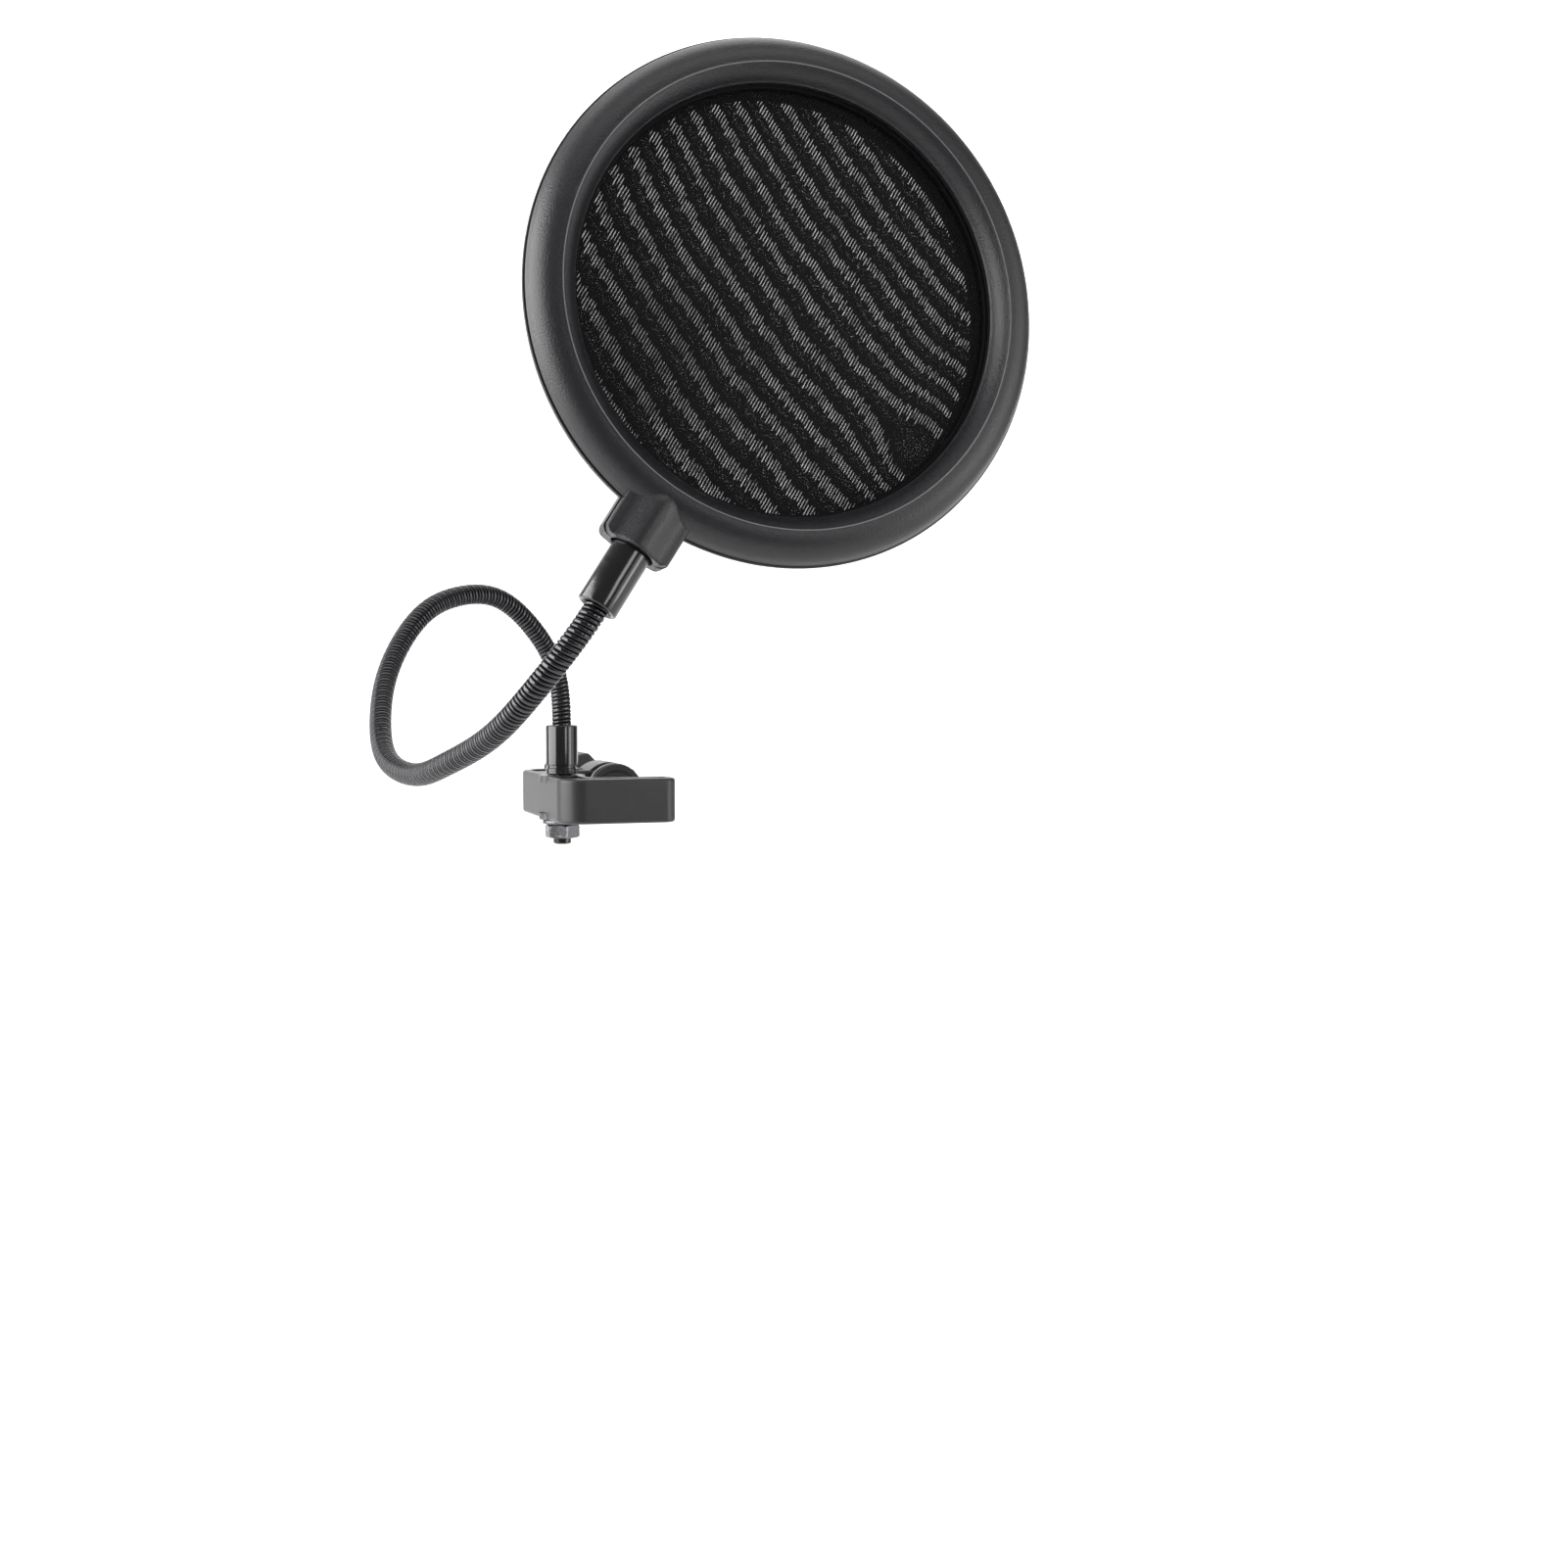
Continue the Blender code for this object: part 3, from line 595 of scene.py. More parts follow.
def bossHalf(shell):
    look = bossSet
    outline = bossOutline(shell["skirt"], shell["rim"])
    piece = drawFace("bossHalf", [(x, y, look["from"] * mm) for x, y in outline])
    step = look["domeLength"] / look["domeSteps"]
    small = look["domeTip"]
    dome = [small + (1 - small) * math.sqrt(1 - (1 - index / look["domeSteps"]) ** 2)
            for index in range(look["domeSteps"] + 1)]
    seamPoint = (0, shell["skirt"] * mm, 0)      # the seam face stays flat while the rest swells
    bpy.ops.transform.resize(value=(dome[0], dome[0], 1), center_override=seamPoint)
    straight = look["to"] - look["from"] - look["domeLength"] - look["endEdge"]
    stages = [(step, after / before) for before, after in zip(dome, dome[1:])] + [(straight, None)]
    stages += [(look["endEdge"] * 0.6, 0.985), (look["endEdge"] * 0.4, 0.96)]
    for rise, ratio in stages:
        pull((0, 0, rise * mm))
        if ratio is not None:
            bpy.ops.transform.resize(value=(ratio, ratio, 1), center_override=seamPoint)
    faceOut(piece)
    # round the two outer corners as seen from the front
    half, corner = look["half"] + shell["rim"], look["corner"]
    guard = plate("bossCorners", roundedCorners(
        [(-half - 1, look["from"] - 2, 0.5), (half + 1, look["from"] - 2, 0.5),
         (half - 0.02, look["to"] + 0.02, corner), (-half + 0.02, look["to"] + 0.02, corner)]), -12, 12)
    combine(piece, settle(guard, Matrix.Rotation(math.pi / 2, 4, "X")), "INTERSECT")
    settle(piece, bossMatrix)
    if shell["side"] < 0:
        settle(piece, headMatrix @ Matrix.Scale(-1, 4, (0, 0, 1)) @ headMatrix.inverted())
        turnFacesOut(piece)
    return piece


def boreOutline():
    look = bossSet
    low, high = look["flangeSpan"]
    return [(0, low), (look["flangeRadius"], low), (look["flangeRadius"], high), (look["bore"], high),
            (look["bore"], look["to"] - 1.0), (look["mouth"], look["to"] + 0.2),
            (look["mouth"], look["to"] + 4), (0, look["to"] + 4)]


def makeShell(name, look):
    piece = settle(spun(name, shellSection(look), shellSet["steps"], closed=True), headMatrix)
    combine(piece, bossHalf(look), "UNION")
    combineTurned(piece, "boreCutter", boreOutline(), 64, "DIFFERENCE", bossMatrix)
    return evenShading(piece, 32)


fit(makeShell("frontShell", frontShellSet), "head", ["front_shell"], frontPlastic)
fit(makeShell("rearShell", rearShellSet), "head", ["rear_shell"], rearPlastic)
print("ring shells made")


# hoops that hold the two cloth layers
hoopSet = {
    "steps": 144, "inner": 52.4, "outer": 56.7, "round": 0.3,
    "spans": {"frontHoop": (0.0, 1.6), "rearHoop": (-7.4, -5.4)},
    "nodes": {"frontHoop": "front_hoop", "rearHoop": "rear_hoop"},
}


def makeHoop(name):
    low, high = hoopSet["spans"][name]
    inner, outer, edge = hoopSet["inner"], hoopSet["outer"], hoopSet["round"]
    outline = roundedCorners([(inner, low, edge), (outer, low, edge), (outer, high, edge),
                              (inner, high, edge)], 4)
    return turned(name, outline, hoopSet["steps"], headMatrix, closed=True)


for hoopName, hoopNode in hoopSet["nodes"].items():
    fit(makeHoop(hoopName), "head", [hoopNode], hoopPlastic)
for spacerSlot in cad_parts["spacer_ring"].material_slots:
    spacerSlot.material = hoopPlastic
print("hoops made")


# two layers of knitted cloth stretched between the hoops
clothSet = {
    "radius": 56.7, "rings": 40, "steps": 160, "thickness": 0.14,
    "heights": {"frontLayer": -0.45, "rearLayer": -4.85},
    "sag": {"frontLayer": -0.12, "rearLayer": 0.1}, "ripple": 0.03,
}
frontClothFinish = {
    "dark": (0.003, 0.003, 0.0032), "light": (0.006, 0.006, 0.0063), "roughness": (0.75, 0.9),
    "bandPeriod": 6.6, "bandAngle": 37.0, "bandTwist": 0.004, "bandWave": 0.6, "waveScale": 38.0,
    "bandPhase": 0.1, "bandEdge": (0.57, 0.87), "dashPeriod": 0.77, "dashAngle": 149.0,
    "dashEdge": (0.62, 0.92), "hole": 0.55, "speckle": 0.12, "sheer": 0.0,
    "still": (33.5, -36.0), "stillSize": 11.0, "stillTurn": 0.5,
    "tight": (-34.0, -14.0), "tightSize": 21.0, "tightShare": 0.55,
}
rearClothFinish = dict(frontClothFinish, hole=0.3, speckle=0.1, sheer=0.42)
weaveSet = {
    "fine": 2400.0, "medium": 420.0, "rowRate": 2600.0, "rowUp": -0.84, "rowWander": 0.2,
    "ragged": 0.16, "fuzz": 0.3, "bump": 0.35, "depth": 0.0001, "ior": 1.22,
}


def clothValues(look):
    band, dash = math.radians(look["bandAngle"]), math.radians(look["dashAngle"])
    return {
        "Band Period": look["bandPeriod"] * mm, "Band Across": math.cos(band), "Band Up": math.sin(band),
        "Band Twist": look["bandTwist"] / mm, "Band Wave": look["bandWave"],
        "Wave Scale": look["waveScale"], "Band Phase": look["bandPhase"],
        "Band Low": look["bandEdge"][0], "Band High": look["bandEdge"][1],
        "Dash Period": look["dashPeriod"] * mm, "Dash Across": math.cos(dash), "Dash Up": math.sin(dash),
        "Dash Low": look["dashEdge"][0], "Dash High": look["dashEdge"][1],
        "Still Across": look["still"][0] * mm, "Still Up": look["still"][1] * mm,
        "Still Size": look["stillSize"] * mm, "Still Turn": look["stillTurn"],
        "Tight Across": look["tight"][0] * mm, "Tight Up": look["tight"][1] * mm,
        "Tight Size": look["tightSize"] * mm, "Tight Share": look["tightShare"],
    }


def buildWeave():
    group, entry, leave = newGroup("stretchedCloth", clothValues(frontClothFinish),
                                   ["Hole", "Speckle", "Thread"])

    def take(label):
        return entry.outputs[label]

    def times(first, second):
        return mathNode(group, "MULTIPLY", first, second)

    def plus(first, second):
        return mathNode(group, "ADD", first, second)

    def wave(turns):
        return plus(times(mathNode(group, "COSINE", times(turns, fullTurn)), 0.5), 0.5)

    def step(value, low, high):
        node = group.nodes.new("ShaderNodeMapRange")
        node.interpolation_type = "SMOOTHSTEP"
        for socket, given in (("Value", value), ("From Min", low), ("From Max", high)):
            group.links.new(given, node.inputs[socket])
        return node.outputs["Result"]

    def nearness(spotName):
        offAcross = mathNode(group, "SUBTRACT", across, take(f"{spotName} Across"))
        offUp = mathNode(group, "SUBTRACT", up, take(f"{spotName} Up"))
        apart = plus(times(offAcross, offAcross), times(offUp, offUp))
        apart = mathNode(group, "DIVIDE", apart, times(take(f"{spotName} Size"), take(f"{spotName} Size")))
        return mathNode(group, "EXPONENT", times(apart, -1.0))

    split = group.nodes.new("ShaderNodeSeparateXYZ")
    group.links.new(take("Vector"), split.inputs["Vector"])
    across, up = split.outputs["X"], split.outputs["Y"]
    drift = noiseNode(group, take("Vector"), take("Wave Scale"), 1.5, 0.45)
    turns = plus(times(across, take("Band Across")), times(up, take("Band Up")))
    turns = plus(turns, times(times(across, up), take("Band Twist")))
    turns = mathNode(group, "DIVIDE", turns, take("Band Period"))
    turns = plus(plus(turns, take("Band Phase")),
                 times(mathNode(group, "SUBTRACT", drift, 0.5), take("Band Wave")))
    # one slack spot, where the bands part and go round
    slack = nearness("Still")
    turns = plus(turns, times(mathNode(group, "SUBTRACT", take("Still Turn"), turns), slack))
    fine = noiseNode(group, take("Vector"), weaveSet["fine"], 2.0, 0.6)
    medium = noiseNode(group, take("Vector"), weaveSet["medium"], 3.0, 0.6)
    dashTurns = plus(times(across, take("Dash Across")), times(up, take("Dash Up")))
    dashTurns = mathNode(group, "DIVIDE", dashTurns, take("Dash Period"))
    dashTurns = plus(dashTurns, times(medium, weaveSet["rowWander"]))
    own = group.nodes.new("ShaderNodeTexWhiteNoise")      # each stitch row ends in its own place
    own.noise_dimensions = "1D"
    group.links.new(mathNode(group, "ROUND", dashTurns), own.inputs["W"])
    ragged = plus(wave(plus(turns, times(own.outputs["Value"], weaveSet["ragged"]))),
                  times(mathNode(group, "SUBTRACT", fine, 0.5), weaveSet["fuzz"]))
    band = step(ragged, take("Band Low"), take("Band High"))
    dash = step(wave(dashTurns), take("Dash Low"), take("Dash High"))
    lively = plus(times(mathNode(group, "POWER", medium, 1.6), 1.5), times(own.outputs["Value"], 0.45))
    # pulled tighter on one side, where the holes close up
    opened = mathNode(group, "SUBTRACT", 1.0, times(nearness("Tight"), take("Tight Share")))
    lively = times(lively, opened)
    group.links.new(mathNode(group, "MULTIPLY", times(band, dash), lively, clamp=True), leave.inputs["Hole"])
    between = mathNode(group, "POWER", wave(plus(turns, 0.5)), 5.0)
    speck = mathNode(group, "MULTIPLY", mathNode(group, "SUBTRACT", fine, 0.52), 7.0, clamp=True)
    group.links.new(times(times(between, speck), times(medium, 2.0)), leave.inputs["Speckle"])
    crossways = plus(times(across, take("Dash Up")), times(up, weaveSet["rowUp"]))
    thread = plus(times(wave(dashTurns), 0.6), times(wave(times(crossways, weaveSet["rowRate"])), 0.4))
    group.links.new(thread, leave.inputs["Thread"])
    return group


clothGroup = buildWeave()


def clothMaterial(name, look, matrix):
    material, tree, shader, spot = startFinish(name, matrix)
    cloth = useGroup(tree, clothGroup, spot, **clothValues(look))
    grain = useGroup(tree, grainGroup, spot, Scale=2600.0, Cloud=70.0)
    tree.links.new(mixColour(tree, grain["Cloudy"], look["dark"], look["light"]), shader.inputs["Base Color"])
    tree.links.new(spread(tree, cloth["Thread"], *look["roughness"]), shader.inputs["Roughness"])
    shader.inputs["IOR"].default_value = weaveSet["ior"]
    gaps = mathNode(tree, "ADD", mathNode(tree, "MULTIPLY", cloth["Hole"], look["hole"]),
                    mathNode(tree, "MULTIPLY", cloth["Speckle"], look["speckle"]))
    gaps = mathNode(tree, "ADD", gaps, look["sheer"], clamp=True)
    eachFace = mathNode(tree, "POWER", gaps, 0.5)      # light goes through both faces of the cloth
    tree.links.new(mathNode(tree, "SUBTRACT", 1.0, eachFace), shader.inputs["Alpha"])
    addBump(tree, shader, cloth["Thread"], weaveSet["bump"], weaveSet["depth"])
    return material


def makeLayer(name):
    outline = [(clothSet["radius"] * step / clothSet["rings"], 0) for step in range(clothSet["rings"] + 1)]
    piece = spun(name, outline, clothSet["steps"])
    lift = clothSet["heights"][name] * mm
    for vert in piece.data.vertices:
        reach = min(vert.co.xy.length / (hoopSet["inner"] * mm), 1.0)
        turn = math.atan2(vert.co.y, vert.co.x)
        ripple = clothSet["ripple"] * math.sin(3 * turn + 4 * reach) * reach * (1 - reach) * 4
        vert.co.z = lift + (clothSet["sag"][name] * (1 - reach ** 2) + ripple) * mm
    applyModifier(piece, "SOLIDIFY", thickness=clothSet["thickness"] * mm, offset=0.0)
    return shadeSmooth(settle(turnFacesOut(piece), headMatrix), 60)


frontCloth = clothMaterial("frontClothWeave", frontClothFinish, headMatrix)
rearCloth = clothMaterial("rearClothWeave", rearClothFinish, headMatrix)
for layerName, layerNode, layerCloth, layerHoop in (
        ("frontLayer", "front_mesh", frontCloth, "frontHoop"),
        ("rearLayer", "rear_mesh", rearCloth, "rearHoop")):
    layer = fit(makeLayer(layerName), "head", [layerNode], layerCloth)
print("cloth layers made")


# gooseneck, wound wire over the whole route
neckSet = {
    "radius": 3.1, "pitch": 2.5, "sides": 28, "stubBase": 9.0, "stubTop": 20.0, "hinges": 8,
    "hingeInset": 17.0, "insideBlend": 4.0, "base": (-22, 14, 23), "topReach": 90.2, "perSpan": 40,
    "step": 0.25,
    "route": [(-24, 14, 41), (-32, 11, 54), (-44, 6, 63), (-58, -2, 63), (-69, -11, 58),
              (-78, -20, 48), (-84, -31, 37), (-87, -43, 27), (-88, -58, 18), (-86, -75, 14),
              (-83, -92, 14), (-80, -108, 17), (-75, -125, 22), (-70, -141, 29), (-62.5, -153, 40.7)],
    # one round wire and one narrower wire in each turn: place along the turn, depth below the crest
    "wire": [(0.0, 0.62), (0.035, 0.30), (0.08, 0.12), (0.16, 0.02), (0.28, 0.0), (0.40, 0.02),
             (0.48, 0.12), (0.525, 0.30), (0.56, 0.62), (0.595, 0.31), (0.64, 0.13), (0.70, 0.04),
             (0.78, 0.02), (0.86, 0.04), (0.92, 0.13), (0.965, 0.31)],
    "grooveDepth": 0.21,
}


def smoothRoute():
    # a smooth curve through the points that runs straight into both ferrules
    points = [Vector(neckSet["base"])] + [Vector(point) for point in neckSet["route"]]
    points.append(headCentre / mm + bossOut * neckSet["topReach"])
    points = np.array(points)
    count = len(points)
    spans = np.linalg.norm(np.diff(points, axis=0), axis=1)
    slopes = [np.array((0.0, 0.0, 1.0)), -np.array(bossOut)]
    system, wanted = np.zeros((count, count)), np.zeros((count, 3))
    system[0, 0] = system[-1, -1] = 1
    wanted[0], wanted[-1] = slopes
    for index in range(1, count - 1):
        before, after = spans[index - 1], spans[index]
        system[index, index - 1:index + 2] = (after, 2 * (before + after), before)
        wanted[index] = 3 * (after * (points[index] - points[index - 1]) / before
                             + before * (points[index + 1] - points[index]) / after)
    tangents = np.linalg.solve(system, wanted)
    route = []
    for index in range(count - 1):
        for step in range(neckSet["perSpan"]):
            t = step / neckSet["perSpan"]
            span = spans[index]
            route.append((2 * t ** 3 - 3 * t ** 2 + 1) * points[index]
                         + (t ** 3 - 2 * t ** 2 + t) * span * tangents[index]
                         + (3 * t ** 2 - 2 * t ** 3) * points[index + 1]
                         + (t ** 3 - t ** 2) * span * tangents[index + 1])
    route.append(points[-1])
    return np.array(route)


def sampled(spots, run, values):
    return np.array([np.interp(spots, run, values[:, axis]) for axis in range(3)]).T


def gooseneckPath():
    base, out = np.array(neckSet["base"], float), np.array(bossOut)
    curve = smoothRoute()
    below = base - np.array((0, 0, neckSet["stubBase"]))
    above = curve[-1] - out * neckSet["stubTop"]
    points = np.vstack([below, curve, above])
    run = np.concatenate([[0], np.cumsum(np.linalg.norm(np.diff(points, axis=0), axis=1))])
    length = run[-1] - neckSet["stubBase"] - neckSet["stubTop"]
    even = np.arange(0, run[-1], neckSet["step"])
    line = sampled(even, run, points)
    along = np.gradient(line, axis=0)
    along /= np.linalg.norm(along, axis=1)[:, None]
    side = np.zeros_like(line)
    side[0] = (1, 0, 0)
    for index in range(1, len(line)):      # carried along without twist
        carried = side[index - 1] - along[index] * (side[index - 1] @ along[index])
        side[index] = carried / np.linalg.norm(carried)
    return even - neckSet["stubBase"], line, side, np.cross(along, side), length


def woundTube(name, path, first, last):
    # rows follow the wire's own slant, so each turn stays crisp
    run, line, side, up, length = path
    pitch, sides = neckSet["pitch"], neckSet["sides"]
    whole = range(math.floor(run[0] / pitch) + 1, math.ceil(run[-1] / pitch) - 1)
    turns = [turn * pitch for turn in whole]
    rows = [(turn + share * pitch, depth) for turn in turns for share, depth in neckSet["wire"]
            if first <= turn < last]
    rows.append((rows[-len(neckSet["wire"])][0] + pitch, neckSet["wire"][0][1]))
    angles = np.arange(sides + 1) / sides
    verts = []
    for start, depth in rows:
        spots = start + pitch * angles
        middle, right, front = (sampled(spots, run, values) for values in (line, side, up))
        circle = angles[:, None] * fullTurn
        reach = neckSet["radius"] - depth
        verts.append(middle + (np.cos(circle) * right + np.sin(circle) * front) * reach)
    shape = bmesh.new()
    groove = shape.verts.layers.float.new("groove")
    grid = [[shape.verts.new(Vector(point) * mm) for point in row] for row in verts]
    # groove marks how deep each row sits, for the painted shade in the neck's grooves
    for ring, (start, depth) in zip(grid, rows):
        for vert in ring:
            vert[groove] = min(depth / neckSet["grooveDepth"], 1.0)
    for below, above in zip(grid, grid[1:]):
        for index in range(sides):
            shape.faces.new((below[index], below[index + 1], above[index + 1], above[index]))
    bmesh.ops.remove_doubles(shape, verts=shape.verts, dist=mm / 1000)
    rims = [edge for edge in shape.edges if edge.is_boundary]
    bmesh.ops.holes_fill(shape, edges=rims, sides=0)
    bmesh.ops.recalc_face_normals(shape, faces=shape.faces)
    piece = fromShape(name, shape)
    piece.data.shade_smooth()
    return piece


neckPath = gooseneckPath()
neckLength = neckPath[4]
hingeGap = (neckLength - 2 * neckSet["hingeInset"]) / (neckSet["hinges"] - 1)
cuts = [-neckSet["stubBase"]] + [neckSet["hingeInset"] + hingeGap * (index + 0.5)
                                 for index in range(neckSet["hinges"] - 1)]
cuts.append(neckLength + neckSet["stubTop"] - 2 * neckSet["pitch"])
for index in range(neckSet["hinges"]):
    first, last = cuts[index], cuts[index + 1]
    wound = woundTube(f"gooseneck{index + 1}", neckPath, first, last)
    coat(wound, neckCoat)
    hidden = [f"neck_link_{index + 1}"]
    if index == neckSet["hinges"] - 1:
        hidden.append(f"neck_link_{index + 2}")
    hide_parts(*hidden)
    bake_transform(wound)
print("gooseneck wound,", round(neckLength), "mm between its ferrules")


# turned ferrules at both ends of the gooseneck
ferruleSet = {
    "steps": 96, "radius": 5.1, "bore": 3.5, "mouth": 90.2, "rim": 0.55, "flange": (6.4, 61.6, 63.7),
    "boreFloor": 69.0,
}
standSet = {
    "stud": 2.9, "studFrom": -15.0, "base": 7.3, "mouth": 23.0, "floor": 13.0, "groove": (9.4, 10.2),
    "grooveDepth": 0.35, "chamfer": 0.4,
}


def ferruleRim(mouth, floor):
    look = ferruleSet
    rim, middle = look["rim"], (look["radius"] - look["rim"], mouth - look["rim"])
    return (arcPoints(middle, (rim, rim), 0, 90, 5)
            + [(look["bore"] + 0.75, mouth), (look["bore"] + 0.35, mouth - 0.25), (look["bore"], mouth - 0.8),
               (look["bore"], floor), (0, floor)])


def makeUpperFerrule():
    look = ferruleSet
    wide, low, high = look["flange"]
    outline = [(0, low), (wide - 0.2, low), (wide, low + 0.2), (wide, high), (look["radius"], high)]
    outline += [(look["radius"], height) for height in (70, 75, 76.5, 83)]
    outline += ferruleRim(look["mouth"], look["boreFloor"])
    return turned("upperFerrule", outline, look["steps"], bossMatrix, 40)


def makeLowerFerrule():
    look, wide = standSet, ferruleSet["radius"]
    low, high = look["groove"]
    deep, edge = look["grooveDepth"], look["chamfer"]
    outline = [(0, look["studFrom"]), (look["stud"] - 0.4, look["studFrom"]),
               (look["stud"], look["studFrom"] + 0.4), (look["stud"], look["base"]),
               (wide - edge, look["base"]), (wide, look["base"] + edge), (wide, low - 0.2),
               (wide - deep, low), (wide - deep, high), (wide, high + 0.2)]
    outline += ferruleRim(look["mouth"], look["floor"])
    return turned("lowerFerrule", outline, ferruleSet["steps"], studMatrix, 40)


fit(makeUpperFerrule(), "head", ["upper_ferrule"], blackFerrule)
fit(makeLowerFerrule(), "clamp", ["lower_ferrule"], blackStand)
print("ferrules turned")


# cast clamp frame
clampSet = {
    "halfHeight": 7.0, "face": -2.8, "arm": 10.0, "farJaw": (40.0, 54.0), "back": -28.0, "throat": -16.0,
    "tip": 9.0, "outerRound": 8.0, "innerRound": 4.0, "edge": 1.1, "panelInset": 2.6, "panelDepth": 0.6,
    "bossRadius": 9.5, "bossEnd": 56.5, "holeRadius": 6.3, "studHole": 3.2, "standRadius": 7.4,
    "standDepth": 2.0,
}


def clampOutline(inset):
    look = clampSet
    face, far = look["face"], look["farJaw"]
    low, back, throat, tip = face - look["arm"], look["back"], look["throat"], look["tip"]
    outer, inner = look["outerRound"] - inset, look["innerRound"]
    return roundedCorners([
        (back + inset, low + inset, outer), (tip - inset, low + inset, max(inner - inset, 1.4)),
        (tip - inset, face - inset, 1.0), (throat - inset, face - inset, inner),
        (throat - inset, far[0] + inset, inner), (tip - inset, far[0] + inset, 1.0),
        (tip - inset, far[1] - inset, max(inner - inset, 1.4)), (back + inset, far[1] - inset, outer)])


def makeClampFrame():
    look = clampSet
    top, deep, stand = look["halfHeight"], look["panelDepth"], look["standDepth"]
    piece = plate("clampFrame", clampOutline(0), -top, top)
    softenEdges(piece, look["edge"] * mm, 4, 50)
    for low, high in ((top - deep, top + 1), (-top - 1, -top + deep)):
        combine(piece, plate("panelCutter", clampOutline(look["panelInset"]), low, high), "DIFFERENCE")
    # pads left standing round the stud, on both faces
    for low, high in ((top - stand, top), (-top, -top + stand)):
        pad = [(0, low), (look["standRadius"], low), (look["standRadius"], high), (0, high)]
        combineTurned(piece, "studPad", pad, 64, "UNION", studMatrix)
    wide, end, start = look["bossRadius"], look["bossEnd"], look["farJaw"][0] + 0.4
    boss = [(0, start), (wide, start), (wide, end - 1.0)]
    boss += arcPoints((wide - 1.0, end - 1.0), (1.0, 1.0), 15, 90, 5) + [(0, end)]
    combineTurned(piece, "screwBoss", boss, 96, "UNION", alongY)
    hole = look["holeRadius"]
    bore = [(0, 35), (hole, 35), (hole, end - 0.6), (hole + 0.8, end + 0.2),
            (hole + 0.8, end + 5), (0, end + 5)]
    combineTurned(piece, "screwBore", bore, 72, "DIFFERENCE", alongY)
    stud = [(0, -10), (look["studHole"], -10), (look["studHole"], 10), (0, 10)]
    combineTurned(piece, "studBore", stud, 48, "DIFFERENCE", studMatrix)
    return evenShading(piece, 30)


fit(makeClampFrame(), "clamp", ["clamp_frame"], castCoat)
print("clamp frame cast")


# rubber jaw pad with ribs across its face
jawPadSet = {"half": (8.5, 6.5), "thick": 2.5, "corner": 2.0, "edge": 0.45, "ribs": 6, "groove": (1.1, 0.55)}


def makeJawPad():
    look = jawPadSet
    (wide, tall), thick, corner = look["half"], look["thick"], look["corner"]
    outline = roundedCorners([(-wide, -tall, corner), (wide, -tall, corner), (wide, tall, corner),
                              (-wide, tall, corner)], 6)
    piece = plate("jawPad", outline, -thick, 0)
    softenEdges(piece, look["edge"] * mm, 3, 50)
    across, deep = look["groove"]
    for index in range(look["ribs"]):
        middle = (index - (look["ribs"] - 1) / 2) * 2 * wide / (look["ribs"] + 1)
        clearSelection()
        bpy.ops.mesh.primitive_cylinder_add(vertices=24, radius=across / 2 * mm, depth=3 * tall * mm,
                                            rotation=(math.pi / 2, 0, 0),
                                            location=(middle * mm, 0, (across / 2 - deep) * mm))
        combine(piece, settle(named("ribCutter")), "DIFFERENCE")
    return shadeSmooth(settle(piece, alongY), 30)


fit(makeJawPad(), "clamp", ["jaw_pad"], gripRubber)


# brass insert, pressed into the screw boss
insertSet = {"bore": 4.0, "radius": 6.0, "from": 41.0, "flange": (56.8, 58.3), "flangeRadius": 8.0,
             "notches": 24, "notch": 0.5}


def makeInsert():
    look = insertSet
    low, high = look["flange"]
    wide, bore = look["flangeRadius"], look["bore"]
    outline = [(bore + 0.4, look["from"]), (look["radius"], look["from"]), (look["radius"], low),
               (wide - 0.2, low), (wide, low + 0.2), (wide, high - 0.35), (wide - 0.35, high),
               (bore + 0.5, high), (bore, high - 0.5), (bore, look["from"] + 0.4)]
    piece = spun("threadedInsert", outline, 96, closed=True)
    clearSelection()
    for index in range(look["notches"]):
        turn = fullTurn * index / look["notches"]
        bpy.ops.mesh.primitive_cylinder_add(
            vertices=12, radius=look["notch"] * mm, depth=4 * mm,
            location=(wide * math.cos(turn) * mm, wide * math.sin(turn) * mm, (low + high) / 2 * mm))
        combine(piece, named("notchCutter"), "DIFFERENCE")
    return shadeSmooth(settle(piece, alongY), 30)


fit(makeInsert(), "clamp", ["threaded_insert"], insertBrass)
print("jaw pad and insert made")


# clamp screw with its real thread
screwSet = {"tip": 2.7, "tipSpan": (35.4, 39.2), "radius": 3.7, "thread": 0.55, "threadSpan": (41.2, 83.6),
            "end": 97.0, "pitch": 1.25, "sides": 40, "rowsPerTurn": 12, "runOut": 1.2,
            "flank": 1.35, "crest": 0.15}


